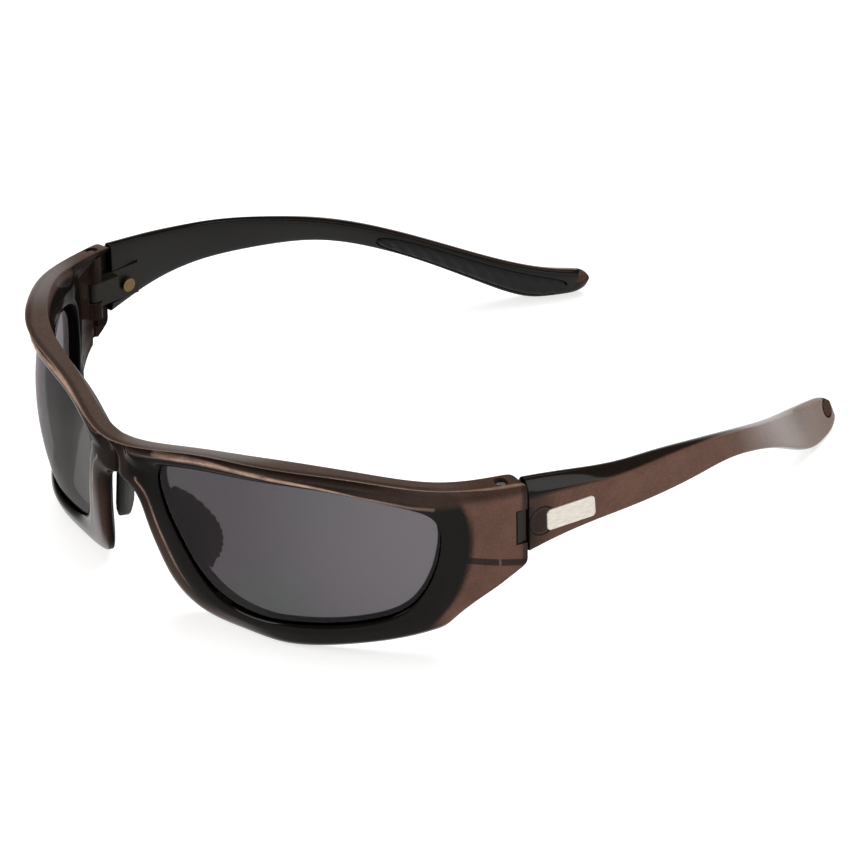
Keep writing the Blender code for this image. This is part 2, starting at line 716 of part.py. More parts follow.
def mirror_to_right(pieces):
    """Right-hand copy of each left-hand piece, under its own empty where the left one has one.

    The left piece is triangulated first, so that curved end faces split the same way on both sides.
    """
    joints = {}
    for piece in pieces:
        bm = bmesh.new()
        bm.from_mesh(piece.data)
        bmesh.ops.triangulate(bm, faces=bm.faces)
        bm.to_mesh(piece.data)
        mesh = piece.data.copy()
        for vert in bm.verts:
            vert.co.x = -vert.co.x
        bmesh.ops.reverse_faces(bm, faces=bm.faces)
        bm.to_mesh(mesh)
        bm.free()
        name = piece.name.replace("left", "right")
        mesh.name = name
        copy = bpy.data.objects.new(name, mesh)
        bpy.context.scene.collection.objects.link(copy)
        copy.location = piece.location * Vector((-1, 1, 1))
        if piece.parent is None:
            continue
        if piece.parent.name not in joints:
            joint = bpy.data.objects.new(piece.parent.name.replace("left", "right"), None)
            joint.location = piece.parent.location * Vector((-1, 1, 1))
            bpy.context.scene.collection.objects.link(joint)
            joints[piece.parent.name] = joint
        copy.parent = joints[piece.parent.name]


def main():
    clear_objects()
    mats = {
        "bronze": material("bronze_plastic", (0.10, 0.055, 0.035), 0.18, transmission=0.3),
        "smoke": material("smoke_lens", (0.12, 0.12, 0.13), 0.05, transmission=0.8),
        "rubber": material("pad_rubber", (0.05, 0.045, 0.045), 0.6),
        "black": material("black_insert", (0.01, 0.01, 0.01), 0.35),
        "grip": material("grip_rubber", (0.015, 0.015, 0.015), 0.7),
        "steel": material("dark_steel", (0.18, 0.18, 0.18), 0.35, metallic=1.0),
        "brass": material("brass", (0.75, 0.55, 0.25), 0.3, metallic=1.0),
        "silver": material("silver_plate", (0.85, 0.85, 0.85), 0.3, metallic=0.6),
    }
    front_frame(mats["bronze"])
    left = [lens(mats["smoke"]), nose_pad(mats["rubber"])]
    left += temple(mats)
    left += hinge_hardware(mats)
    mirror_to_right(left)


main()
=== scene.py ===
"""Looks for wraparound safety glasses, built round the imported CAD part.

The visible frame, temples, lenses, pads, grips and plates are finer versions of the CAD solids, drawn
from the same tables. The hinge hardware is the CAD's own, with better materials.

Design units are millimetres, as in the CAD source: x is positive to the wearer's left, y runs from the
front of the brow (0) back to the temple tips (LENGTH) and z is the height above the table. world() turns
them into the scene's metres.
"""

import math

import bmesh
import bpy
import numpy as np
from mathutils import Matrix, Vector
from mathutils.kdtree import KDTree

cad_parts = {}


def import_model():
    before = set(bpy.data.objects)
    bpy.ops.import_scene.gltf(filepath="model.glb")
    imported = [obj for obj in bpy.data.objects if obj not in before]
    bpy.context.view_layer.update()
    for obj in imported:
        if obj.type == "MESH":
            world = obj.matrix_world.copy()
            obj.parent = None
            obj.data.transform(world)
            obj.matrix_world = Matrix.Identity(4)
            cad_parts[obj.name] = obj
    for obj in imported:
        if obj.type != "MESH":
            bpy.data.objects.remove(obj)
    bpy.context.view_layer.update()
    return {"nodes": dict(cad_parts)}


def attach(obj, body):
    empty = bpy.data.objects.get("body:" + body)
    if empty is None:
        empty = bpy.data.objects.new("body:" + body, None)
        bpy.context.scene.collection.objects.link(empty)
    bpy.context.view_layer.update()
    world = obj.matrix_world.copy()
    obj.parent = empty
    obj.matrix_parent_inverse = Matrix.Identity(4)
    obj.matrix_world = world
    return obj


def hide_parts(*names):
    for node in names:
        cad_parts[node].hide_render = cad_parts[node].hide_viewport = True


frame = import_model()

MM = 0.001
GAP = 0.3                      # clearance between neighbouring pieces
LENGTH = 159.6
HALF_LENGTH = LENGTH / 2

# Front, as a wrapped sheet: s runs along the brow from the bridge to the hinge, z is height.
PLAN_S = (0.0, 20.7, 39.2, 56.8, 74.1, 93.1)
PLAN_X = (0.0, 20.0, 38.0, 52.0, 63.0, 69.0)
PLAN_Y = (0.0, 5.4, 9.7, 20.3, 33.7, 51.75)
BROW_TOP = (37.5, 40.1, 42.7, 41.9, 39.1, 37.2)
BROW_WIDTH = (4.6, 4.1, 5.2, 4.3, 3.8, 4.2)
BROW_RISE = (-0.35, -0.43, -0.28, -0.03, 0.33, 0.6)   # back edge above the front edge
FACE_SET_BACK = 2.2            # rim face behind the brow's front edge
FACE_CURVE = 3.8               # how much further back the face is at the table
FACE_CROWN_Z = 30.0
RIM_DEPTH = 3.8                # front to back, beside the lens
END_DEPTH = 2.0                # the same in the side panel
BACK_ROUND = 1.7               # the back comes forward by this at the outer edge
LEAST_DEPTH = 1.4
HINGE_S = 93.1                 # along the brow at the parting plane
END_Y = 51.6                   # the parting plane
FLATTENS = (76.0, 88.0)        # along the brow, where the face runs out into the plain side panel
GROOVE_ENDS = (56.0, 70.0)     # the same for the groove under the brow
PAST_LENS = (75.5, 79.5)       # the same for the rim's full depth

# Opening and outer outline, matched station by station: opening s, z, outline s, z, corner flag.
STATIONS = (
    (12.6, 33.4, 0.0, 37.5, 1), (16.0, 34.8, 11.0, 38.8, 0), (26.0, 36.4, 24.0, 40.6, 0),
    (38.0, 38.1, 38.0, 42.6, 0), (50.0, 38.1, 52.0, 42.2, 0), (60.0, 36.4, 64.5, 40.8, 0),
    (68.4, 34.2, 78.0, 38.6, 0), (73.4, 31.7, 93.1, 37.2, 1), (75.0, 28.0, 93.1, 31.2, 0),
    (74.9, 24.2, 93.1, 25.2, 0), (73.9, 20.0, 93.1, 19.2, 1), (71.9, 15.6, 84.8, 14.2, 0),
    (68.6, 11.6, 77.0, 5.5, 1), (61.6, 8.2, 65.0, 2.9, 0), (52.0, 6.4, 53.5, 1.0, 0),
    (40.5, 5.7, 40.0, 0.0, 0), (29.5, 5.2, 28.0, 0.0, 0), (23.2, 7.0, 19.5, 0.6, 0),
    (18.8, 12.4, 13.8, 5.4, 0), (15.8, 18.8, 10.5, 12.8, 0), (13.6, 24.0, 8.1, 19.7, 0),
    (12.4, 28.0, 5.0, 26.4, 0), (12.0, 30.3, 0.0, 28.6, 1), (12.1, 32.0, 0.0, 33.0, 0),
)
COLUMNS_PER_STATION = 4
TOP_SPAN = 7                   # stations up to here are the brow, then to END_SPAN the hinge end
END_SPAN = 10
MIDDLE_SPAN = len(STATIONS) - 2  # from here on the outline climbs the middle of the bridge

# Front profile from the opening's edge (0) to the outer edge (1): depth against the rim face, for the
# brow with its groove, the brow past the groove, and the rims.
ROWS = (0.0, 0.05, 0.14, 0.3, 0.48, 0.62, 0.72, 0.8, 0.87, 0.93, 0.97, 1.0)
BROW_PROFILE = (0.1, -0.5, -1.1, -1.7, -1.8, -1.15, 0.0, 0.45, 0.35, -1.3, -2.0, -2.15)
PLAIN_PROFILE = (0.1, -0.3, -0.65, -0.8, -0.75, -0.7, -0.75, -0.9, -1.2, -1.6, -1.95, -2.15)
RIM_PROFILE = (0.1, -0.3, -0.6, -0.8, -0.6, -0.45, -0.3, -0.15, 0.05, 0.35, 0.6, 0.95)
BACK_ROWS = (0.0, 0.07, 0.3, 0.55, 0.8, 0.94, 1.0)

# Lines on the front that are tinted, the first two with a painted copper highlight and the last with a brown
# strip: (station number, share of the way from opening to outline).
BROW_HIGHLIGHT = ((0.9, 0.66), (1.6, 0.6), (3.0, 0.44), (4.0, 0.27), (4.8, 0.14), (5.8, 0.12), (6.4, 0.2))
NOSE_HIGHLIGHT = ((16.0, 0.6), (18.0, 0.48), (22.2, 0.42))
NOSE_STRIP = ((15.6, 0.8), (23.9, 0.8))

# Outer edge between the front and the back: rows across it, and its crown.
CAP_ROWS = (0.1, 0.5, 0.9)
CAP_CROWN = 0.12
CROWN_ABOVE_Z = 20.0           # only the brow's edge is crowned, and not right beside the parting plane
CROWN_END_Y = END_Y - 0.5
BROW_END_S = 93.0              # how far along the brow its top is tinted

LENS_THICKNESS = 2.0
LENS_INSET = 0.6               # lens behind the rim face
LENS_DOME = 1.1
LENS_OVERLAP = 1.1             # lens into the groove all round

# Hinge: its axis, the block's knuckle on it, the screw, the nut and the frame's lug round them.
AXIS_X = 66.0
AXIS_Y = 47.2
KNUCKLE_R = 1.5
KNUCKLE_Z = (26.2, 30.4)
SHANK_R = 0.65
HEAD_R = 1.1
HEAD_H = 1.0
SCREW_TOP_Z = 37.3
NUT_R = 1.1
NUT_Z = (23.2, 25.2)
LUG_Z = (22.2, 36.6)
LUG_R = 1.9
LUG_ROOT_X = (67.7, 67.2)      # where the lug meets the skin, behind and in front of the axis
JOG_X = 64.8
JOG_Y = 49.1                   # the frame's skin stops here beside the hinge block
JOG_Z = (24.1, 31.1)
CLEAR_X = (40.0, 80.0)         # the cuts run out into the open as far as these
CLEAR_Y = 60.0
CLEAR_Z = (10.0, 45.0)

# Arms, by y: top edge x, z and bottom edge x, z.
TEMPLE = (
    (51.9, 69.0, 37.6, 69.2, 21.5), (62.7, 69.7, 35.9, 70.4, 23.4), (73.6, 69.6, 33.9, 70.9, 23.9),
    (84.5, 68.3, 32.1, 70.4, 23.5), (95.4, 66.3, 29.6, 68.7, 22.7), (106.3, 63.5, 26.5, 65.9, 21.3),
    (117.2, 59.4, 22.5, 61.8, 17.6), (128.1, 53.5, 17.6, 56.6, 12.2), (139.0, 46.6, 12.5, 50.9, 5.6),
    (150.0, 40.8, 8.3, 45.3, 0.2), (159.6, 37.6, 5.9, 40.9, 0.6),
)
ARM_Y = TEMPLE[0][0]
TIP = 4.0                      # length over which the tip rounds off
ARM_OUTER = 1.3                # half thickness outside the edge line; it grows from none at the seam
ARM_INNER = (3.6, 1.9)         # half thickness inside it, at the seam and past ARM_EASE
ARM_EASE = 30.0
TIP_SHIFT = 0.2                # the section moves outward by this over TIP_SHIFT_Y
TIP_SHIFT_Y = (120.0, 145.0)
BEVEL_FADE_Y = (62.0, 125.0)   # the upper bevel narrows from here to there
ARM_PROFILE = (                # through the thickness, up the height; the bevel is the third to fifth
    (-0.5, 1.0), (-0.05, 1.0), (0.22, 0.97), (0.5, 0.84), (0.84, 0.62), (0.97, 0.52), (1.0, 0.36),
    (1.0, 0.0), (1.0, -0.6), (0.99, -0.88), (0.9, -0.97), (0.6, -1.0), (-0.45, -1.0),
    (-0.85, -0.92), (-0.98, -0.7), (-1.0, 0.0), (-0.98, 0.7), (-0.85, 0.92),
)

# Let into the arms: the hinge block's pocket and boss, the side plate, the soft grip.
POCKET_Y = (50.0, 59.3)
POCKET_Z = (23.8, 31.4)
POCKET_X = (55.0, 67.5)
BOSS = (55.3, 27.7)
BOSS_R = 2.6
BOSS_TOP = 67.6
BADGE_Y = (56.0, 67.2)
BADGE_Z = (27.35, 27.45)
BADGE_HEIGHT = (4.5, 4.4)
BADGE_DEPTH = 0.5
BADGE_CORNER = 0.9
GRIP_Y = (118.0, 154.5)
GRIP_RIBS = 12
GRIP_SHARE = 0.33              # half height, against the arm's height
GRIP_PROUD = 0.3
GRIP_DEPTH = 0.9
RIB = 0.5

# Nose pads
PAD_TOP = 25.6
PAD_BOTTOM = 8.4
PAD_REACH = 8.1                # front edge to the rear edge, at its widest
PAD_STAND = 0.95               # pad's front edge behind the back of the nasal bar
PAD_LEAN = math.radians(35.0)  # how far a pad splays outward as it runs back
PAD_THICKNESS = 1.8
PAD_BOW = 0.9                  # how far its middle bows towards the nose
PAD_TEETH = 12
TOOTH = 0.65
BAR_AT = (8.4, 26.4)           # a point in the middle of a nasal bar: along the front, and up
BAR_SPREAD = 0.47              # how fast the bars spread downward

# Seen inside the clear plastic (y, z in the side view): the block's boss under the arm's skin, the ledge
# along the side panel with its notch, and the round end of the arm's core at the tip.
RING_AT = (54.9, 27.7)
RING_R = 3.0
CORE_AT = (157.4, 4.7)
CORE_R = 1.6
LEDGE_AT = (39.2, 22.3)
LEDGE_SLOPE = 0.23
LEDGE_START = (37.4, 39.6)
LEDGE_X = (61.0, 62.5)
NOTCH_Y = 45.7
TONGUE_Y = (52.3, 53.6)        # the block's tongue in the arm: its fading end, and its edges
TONGUE_Z = ((23.0, 24.2), (31.2, 32.0))

# Linear colours. Bronze plastic, from its clear depth to the glint of its flake.
DEEP = (0.0028, 0.0028, 0.0022)
BRONZE = (0.115, 0.058, 0.042)
CLOUD = (0.010, 0.006, 0.005)
DUST = (0.17, 0.082, 0.055)
FLAKE = (0.40, 0.20, 0.13)
# Painted copper highlight along the ridges and the brow's front edge.
COPPER_HIGHLIGHT = ((0.50, 0.30, 0.22), (0.72, 0.52, 0.42))
# Painted grey sky reflection on the brow's top.
GREY_SKY_REFLECTION = ((0.058, 0.046, 0.039), (0.10, 0.078, 0.066))
# Painted highlight on the outer face of the arm's tip.
PALE_HIGHLIGHT = ((0.19, 0.150, 0.132), (0.27, 0.215, 0.19))
CORE = ((0.045, 0.026, 0.018), (0.10, 0.055, 0.04))
OUTLINE = (0.004, 0.003, 0.002)

# Light through the lens beside the nose and towards the temple, and the lens's reflection.
LENS_NASAL = ((0.248, 0.254, 0.252), (0.258, 0.246, 0.260))
LENS_TEMPORAL = ((0.330, 0.348, 0.343), (0.344, 0.334, 0.347))
LENS_GLOSS = ((0.385, 0.37, 0.362), (0.41, 0.36, 0.385))

# Camera
AZIMUTH = 50.66                # round from straight ahead towards the wearer's left
ELEVATION = 28.64
ROLL = -0.9
CAMERA_AT = (1.0232, -0.83489, 0.73171)
FOCAL_LENGTH = 305.06


# ---------------------------------------------------------------- curves

def cubic(knots, values, start=None, end=None):
    """Cubic spline through the knots, clamped to a slope at either end where one is given."""
    t = np.asarray(knots, float)
    v = np.asarray(values, float)
    h = np.diff(t)
    n = len(t)
    a = np.zeros((n, n))
    r = np.zeros(n)
    for i in range(1, n - 1):
        a[i, i - 1:i + 2] = h[i - 1], 2 * (h[i - 1] + h[i]), h[i]
        r[i] = 6 * ((v[i + 1] - v[i]) / h[i] - (v[i] - v[i - 1]) / h[i - 1])
    a[0, 0] = 1.0
    a[-1, -1] = 1.0
    if start is not None:
        a[0, :2] = 2 * h[0], h[0]
        r[0] = 6 * ((v[1] - v[0]) / h[0] - start)
    if end is not None:
        a[-1, -2:] = h[-1], 2 * h[-1]
        r[-1] = 6 * (end - (v[-1] - v[-2]) / h[-1])
    m = np.linalg.solve(a, r)

    def at(x):
        x = np.asarray(x, float)
        k = np.clip(np.searchsorted(t, x) - 1, 0, n - 2)
        left = t[k + 1] - x
        right = x - t[k]
        bend = (m[k] * left ** 3 + m[k + 1] * right ** 3) / (6 * h[k])
        line = (v[k] / h[k] - m[k] * h[k] / 6) * left + (v[k + 1] / h[k] - m[k + 1] * h[k] / 6) * right
        return bend + line

    return at


plan_x = cubic(PLAN_S, PLAN_X, start=1.0)
plan_y = cubic(PLAN_S, PLAN_Y, start=0.0)
brow_top = cubic(PLAN_S, BROW_TOP, start=0.0)
brow_width = cubic(PLAN_S, BROW_WIDTH, start=0.0)
brow_rise = cubic(PLAN_S, BROW_RISE, start=0.0)
temple_y = [row[0] for row in TEMPLE]
temple_at = [cubic(temple_y, [row[k] for row in TEMPLE]) for k in range(1, 5)]


def ease(x, low, high):
    """0 below low, 1 above high, smooth between."""
    f = min(1.0, max(0.0, (x - low) / (high - low)))
    return f * f * (3 - 2 * f)


def place(s, z, depth):
    """Point of the wrapped front: along the brow, up, and inward from the brow's front edge."""
    step = 0.01
    dx = float(plan_x(s + step) - plan_x(s - step)) if s > step else 2 * step
    dy = float(plan_y(s + step) - plan_y(s - step)) if s > step else 0.0
    size = math.hypot(dx, dy)
    return np.array((float(plan_x(s)) - dy / size * depth, float(plan_y(s)) + dx / size * depth, z))


def face(z):
    """Depth of the rims' front face at a height."""
    return FACE_SET_BACK + FACE_CURVE * ((FACE_CROWN_Z - z) / FACE_CROWN_Z) ** 2


def world(point):
    """Scene position of a design point."""
    return Vector((point[0] * MM, (point[1] - HALF_LENGTH) * MM, point[2] * MM))


# ---------------------------------------------------------------- mesh tools

def add(name, data):
    """New object in the scene."""
    obj = bpy.data.objects.new(name, data)
    bpy.context.scene.collection.objects.link(obj)
    return obj


def build(name, points, faces, mats=()):
    """Mesh object from design points, with its normals outward."""
    mesh = bpy.data.meshes.new(name)
    mesh.from_pydata([world(p) for p in points], [], faces)
    bm = bmesh.new()
    bm.from_mesh(mesh)
    bmesh.ops.remove_doubles(bm, verts=bm.verts, dist=1e-7)
    bmesh.ops.recalc_face_normals(bm, faces=bm.faces)
    bm.to_mesh(mesh)
    bm.free()
    for mat in mats:
        mesh.materials.append(mat)
    return add(name, mesh)


def settle(obj):
    """Replace the object's mesh with what its modifiers make of it."""
    bpy.context.view_layer.update()
    graph = bpy.context.evaluated_depsgraph_get()
    mesh = bpy.data.meshes.new_from_object(obj.evaluated_get(graph))
    obj.modifiers.clear()
    obj.data = mesh


def subdivide(obj, levels):
    """Smooth the mesh by subdivision."""
    mod = obj.modifiers.new("smooth", "SUBSURF")
    mod.levels = levels
    mod.render_levels = levels
    settle(obj)


def boolean(obj, shapes, operation="DIFFERENCE"):
    """Cut or join closed shapes and keep the result."""
    tools = []
    for k, (points, faces) in enumerate(shapes):
        tool = build(f"{obj.name}_tool_{k}", points, faces)
        mod = obj.modifiers.new(f"shape_{k}", "BOOLEAN")
        mod.operation = operation
        mod.solver = "EXACT"
        mod.object = tool
        tools.append(tool)
    settle(obj)
    for tool in tools:
        bpy.data.objects.remove(tool, do_unlink=True)


def soften(obj, degrees=38.0):
    """Smooth shading, with edges sharper than the angle kept."""
    obj.data.shade_smooth()
    obj.data.set_sharp_from_angle(angle=math.radians(degrees))
    return obj


def band(first, second, count):
    """Faces between two closed rings, given the number of each ring's first point."""
    return [(first + i, first + (i + 1) % count, second + (i + 1) % count, second + i) for i in range(count)]


def loft(rings):
    """Points and faces of a tube through equal rings, closed at both ends."""
    count = len(rings[0])
    points = [p for ring in rings for p in ring]
    faces = []
    for r in range(len(rings) - 1):
        faces += band(r * count, (r + 1) * count, count)
    last = (len(rings) - 1) * count
    faces.append(tuple(range(count)))
    faces.append(tuple(range(last, last + count)))
    return points, faces


def disc(radius, axis, at, centre, sides=48):
    """Ring of points square to an axis."""
    ring = []
    for k in range(sides):
        a = 2 * math.pi * k / sides
        u = centre[0] + radius * math.cos(a)
        v = centre[1] + radius * math.sin(a)
        ring.append(np.array((u, v, at) if axis == "z" else (at, u, v)))
    return ring


def turned(levels, axis, centre):
    """Solid of revolution from (position, radius) levels."""
    return loft([disc(radius, axis, at, centre) for at, radius in levels])


def prism(outline, low, high):
    """Straight extrusion of a plan outline (x, y) up z."""
    return loft([[np.array((u, v, w)) for u, v in outline] for w in (low, high)])


def rectangle(u0, u1, v0, v1):
    return ((u0, v0), (u1, v0), (u1, v1), (u0, v1))


def flip(shape, side):
    """The shape itself for side 1, its mirror image for side -1."""
    points, faces = shape
    return [np.array((p[0] * side, p[1], p[2])) for p in points], faces


def mirrored(obj, name):
    """Right-hand copy of a left-hand piece."""
    mesh = obj.data.copy()
    bm = bmesh.new()
    bm.from_mesh(mesh)
    for vert in bm.verts:
        vert.co.x = -vert.co.x
    bmesh.ops.reverse_faces(bm, faces=bm.faces)
    bm.to_mesh(mesh)
    bm.free()
    return add(name, mesh)


def store(obj, name, values):
    """Keep one number per vertex for the materials to read."""
    layer = obj.data.attributes.get(name) or obj.data.attributes.new(name, "FLOAT", "POINT")
    layer.data.foreach_set("value", np.asarray(values, np.float32))


def design_points(obj):
    """The mesh's points in design units."""
    co = np.zeros(len(obj.data.vertices) * 3)
    obj.data.vertices.foreach_get("co", co)
    return co.reshape(-1, 3) / MM + np.array((0.0, HALF_LENGTH, 0.0))


# ---------------------------------------------------------------- front

def chord_curve(points, closed):
    """Smooth curve through plane points, by chord length."""
    pts = np.array(points, float)
    wrap = 4
    if closed:
        pts = np.vstack([pts[-wrap:], pts, pts[:wrap + 1]])
    length = np.concatenate([[0.0], np.cumsum(np.linalg.norm(np.diff(pts, axis=0), axis=1))])
    along = [cubic(length, pts[:, k]) for k in range(2)]
    if closed:
        length = length[wrap:-wrap]

    def at(index):
        base = min(int(math.floor(index)), len(length) - 2)
        t = length[base] + (index - base) * (length[base + 1] - length[base])
        return np.array([float(axis(t)) for axis in along])

    return at


def outlines(per_station=COLUMNS_PER_STATION):
    """Matched columns of opening and outer outline points (s, z)."""
    count = len(STATIONS)
    opening = chord_curve([row[:2] for row in STATIONS], closed=True)
    corners = [i for i, row in enumerate(STATIONS) if row[4]]
    pieces = []
    for a, b in zip(corners, corners[1:] + [corners[0] + count]):
        pieces.append((a, b, chord_curve([STATIONS[i % count][2:4] for i in range(a, b + 1)], closed=False)))
    index = [k / per_station for k in range(count * per_station)]
    inner = [opening(t) for t in index]
    outer = [next(curve(t - a) for a, b, curve in pieces if a <= t < b) for t in index]
    for t, point in zip(index, outer):
        if t <= TOP_SPAN:
            point[1] = float(brow_top(point[0]))
    return np.array(inner), np.array(outer), index


def brow_share(t):
    """1 on the brow, falling to 0 past its ends."""
    if t <= TOP_SPAN:
        return 1.0
    last = len(STATIONS)
    return max(0.0, 1.0 - (t - TOP_SPAN)) if t < END_SPAN else max(0.0, 1.0 - (last - t))


def to_parting_plane(point):
    """Slide a point of the hinge end along the plan curve onto the parting plane."""
    before = HINGE_S - 0.1
    dx = float(plan_x(HINGE_S) - plan_x(before))
    dy = float(plan_y(HINGE_S) - plan_y(before))
    return point + np.array((dx / dy, 1.0, 0.0)) * (END_Y - point[1])


def front_point(v, column, inner, outer, t):
    """Front-sheet point; the groove under the brow runs out towards the hinge."""
    s, z = inner[column] * (1 - v) + outer[column] * v
    brow = brow_share(t)
    end = ease(s, *FLATTENS)
    groove = 1 - ease(s, *GROOVE_ENDS)
    above, plain, rim = (float(np.interp(v, ROWS, row)) for row in (BROW_PROFILE, PLAIN_PROFILE, RIM_PROFILE))
    top = above * groove + plain * (1 - groove)
    depth = (face(z) + top * brow + rim * (1 - brow)) * (1 - end)
    if t <= TOP_SPAN and v == 1.0:
        depth = 0.0
    return s, z, max(depth, 0.0)


def to_outer_edge(point, v, t):
    """Bring a row's last points onto the parting plane, or onto the middle plane at the bridge."""
    if v == 1.0 and TOP_SPAN <= t <= END_SPAN:
        point = to_parting_plane(point)
    if v == 1.0 and (t == 0 or t >= MIDDLE_SPAN):
        point[0] = 0.0
    return point


def front_half():
    """Front and back sheets as [row][column] points for x >= 0, the opening, and each column's station."""
    inner, outer, index = outlines()
    front = []
    back = []
    for v in ROWS:
        line = []
        for k, t in enumerate(index):
            s, z, depth = front_point(v, k, inner, outer, t)
            line.append(to_outer_edge(place(s, max(z, 0.0), depth), v, t))
        front.append(line)
    for v in BACK_ROWS:
        line = []
        for k, t in enumerate(index):
            s, z = inner[k] * (1 - v) + outer[k] * v
            end = ease(s, *FLATTENS)
            past_lens = ease(s, *PAST_LENS)
            thick = RIM_DEPTH * (1 - past_lens) + END_DEPTH * past_lens
            rear = face(z) * (1 - end) + thick - BACK_ROUND * (1 - end) * v ** 3
            low = 0.0
            if t <= TOP_SPAN:
                rear = rear * (1 - v ** 2) + float(brow_width(s)) * v ** 2
                low = float(brow_rise(s)) * v ** 2
            point = place(s, max(z + low, 0.0), max(rear, LEAST_DEPTH))
            line.append(to_outer_edge(point, v, t))
        back.append(line)
    return front, back, inner, index


def widened(curve, k, distance):
    """Point k of a closed plane curve, moved outward."""
    before = curve[k - 1]
    after = curve[(k + 1) % len(curve)]
    tangent = (after - before) / np.linalg.norm(after - before)
    return curve[k] + np.array((-tangent[1], tangent[0])) * distance


def groove_walls(inner):
    """Rings of the lens groove between the front and back lips."""
    reach = LENS_OVERLAP + GAP
    rings = []
    for extra in (LENS_INSET - GAP, LENS_INSET + LENS_THICKNESS + GAP):
        for far in (False, True) if extra < LENS_INSET else (True, False):
            ring = []
            for k in range(len(inner)):
                s, z = widened(inner, k, reach if far else 0.0)
                ring.append(place(s, z, face(z) + extra))
            rings.append(ring)
    return rings


def cap_rows(front_edge, back_edge):
    """Rows across the outer edge face, slightly crowned."""
    rows = []
    for f in CAP_ROWS:
        row = []
        for a, b in zip(front_edge, back_edge):
            p = a * (1 - f) + b * f
            if p[2] > CROWN_ABOVE_Z and p[1] < CROWN_END_Y:
                p = p + np.array((0.0, 0.0, CAP_CROWN * math.sin(math.pi * f)))
            row.append(p)
        rows.append(row)
    return rows


def hinge_lug(side):
    """Upright lug on the frame that the hinge screw runs through."""
    outline = [(LUG_ROOT_X[0], AXIS_Y + LUG_R)]
    outline += [(AXIS_X - LUG_R * math.sin(a), AXIS_Y + LUG_R * math.cos(a))
                for a in np.linspace(0, math.pi, 25)]
    outline.append((LUG_ROOT_X[1], AXIS_Y - LUG_R))
    return flip(prism(outline, *LUG_Z), side)


def hinge_cuts(side):
    """Room for the block's knuckle and arm, and the screw's and nut's bores."""
    near = AXIS_X + KNUCKLE_R + GAP
    front_y = AXIS_Y - KNUCKLE_R - GAP
    pocket = [(CLEAR_X[0], front_y), (AXIS_X, front_y)]
    pocket += [(AXIS_X + (near - AXIS_X) * math.sin(a), AXIS_Y - (near - AXIS_X) * math.cos(a))
               for a in np.linspace(math.pi / 26, math.pi / 2, 13)]
    pocket += [(near, CLEAR_Y), (CLEAR_X[0], CLEAR_Y)]
    axis = (AXIS_X, AXIS_Y)
    seat = SCREW_TOP_Z - HEAD_H - GAP
    shapes = [
        prism(pocket, KNUCKLE_Z[0] - GAP, KNUCKLE_Z[1] + GAP),
        prism(rectangle(JOG_X, CLEAR_X[1], JOG_Y, CLEAR_Y), JOG_Z[0] - GAP, JOG_Z[1] + GAP),
        turned(((KNUCKLE_Z[1], SHANK_R + GAP), (seat, SHANK_R + GAP),
                (seat + 0.01, HEAD_R + GAP), (CLEAR_Z[1], HEAD_R + GAP)), "z", axis),
        turned(((NUT_Z[0] - GAP, SHANK_R + GAP), (NUT_Z[0] - GAP + 0.01, NUT_R + GAP),
                (KNUCKLE_Z[0], NUT_R + GAP)), "z", axis),
        turned(((CLEAR_Z[0], SHANK_R + GAP), (NUT_Z[0], SHANK_R + GAP)), "z", axis),
    ]
    return [flip(shape, side) for shape in shapes]


def front_frame(mats):
    """The whole front: both halves as one closed sheet, with lugs and hinge cuts."""
    front, back, inner, index = front_half()
    walls = groove_walls(inner)
    caps = cap_rows(front[-1], back[-1])
    rows = caps[::-1] + front[::-1] + walls + back
    joins_halves = set(range(len(caps))) | {len(rows) - 1}
    count = len(index)
    seam_first = MIDDLE_SPAN * COLUMNS_PER_STATION
    points = []
    faces = []
    for side in (1, -1):
        base = len(points)
        for row in rows:
            points.extend(np.array((p[0] * side, p[1], p[2])) for p in row)
        for r in range(len(rows)):
            following = (r + 1) % len(rows)
            quads = band(base + r * count, base + following * count, count)
            faces += quads[:seam_first] if r in joins_halves else quads
    obj = build("frame_shell", points, faces, mats)
    subdivide(obj, 2)
    boolean(obj, [hinge_lug(side) for side in (1, -1)], "UNION")
    boolean(obj, [shape for side in (1, -1) for shape in hinge_cuts(side)])
    tint_frame(obj, inner)
    return soften(obj)


def tree_of(points):
    """Nearest-point search over design points."""
    tree = KDTree(len(points))
    for k, p in enumerate(points):
        tree.insert(Vector(p), k)
    tree.balance()
    return tree


def front_line(path, per_station=40):
    """Points on the front face along a path of (station number, share of the way out)."""
    inner, outer, index = outlines(per_station)
    at, shares = zip(*path)
    points = []
    for k, t in enumerate(index):
        if at[0] <= t <= at[-1]:
            s, z, depth = front_point(float(np.interp(t, at, shares)), k, inner, outer, t)
            points.append(place(s, z, depth))
    return points


def brow_line(share, count):
    """Points along the brow's top, at a share of its width behind the front edge."""
    along = np.linspace(0, BROW_END_S, count)
    return [place(s, float(brow_top(s)), float(brow_width(s)) * share) for s in along]


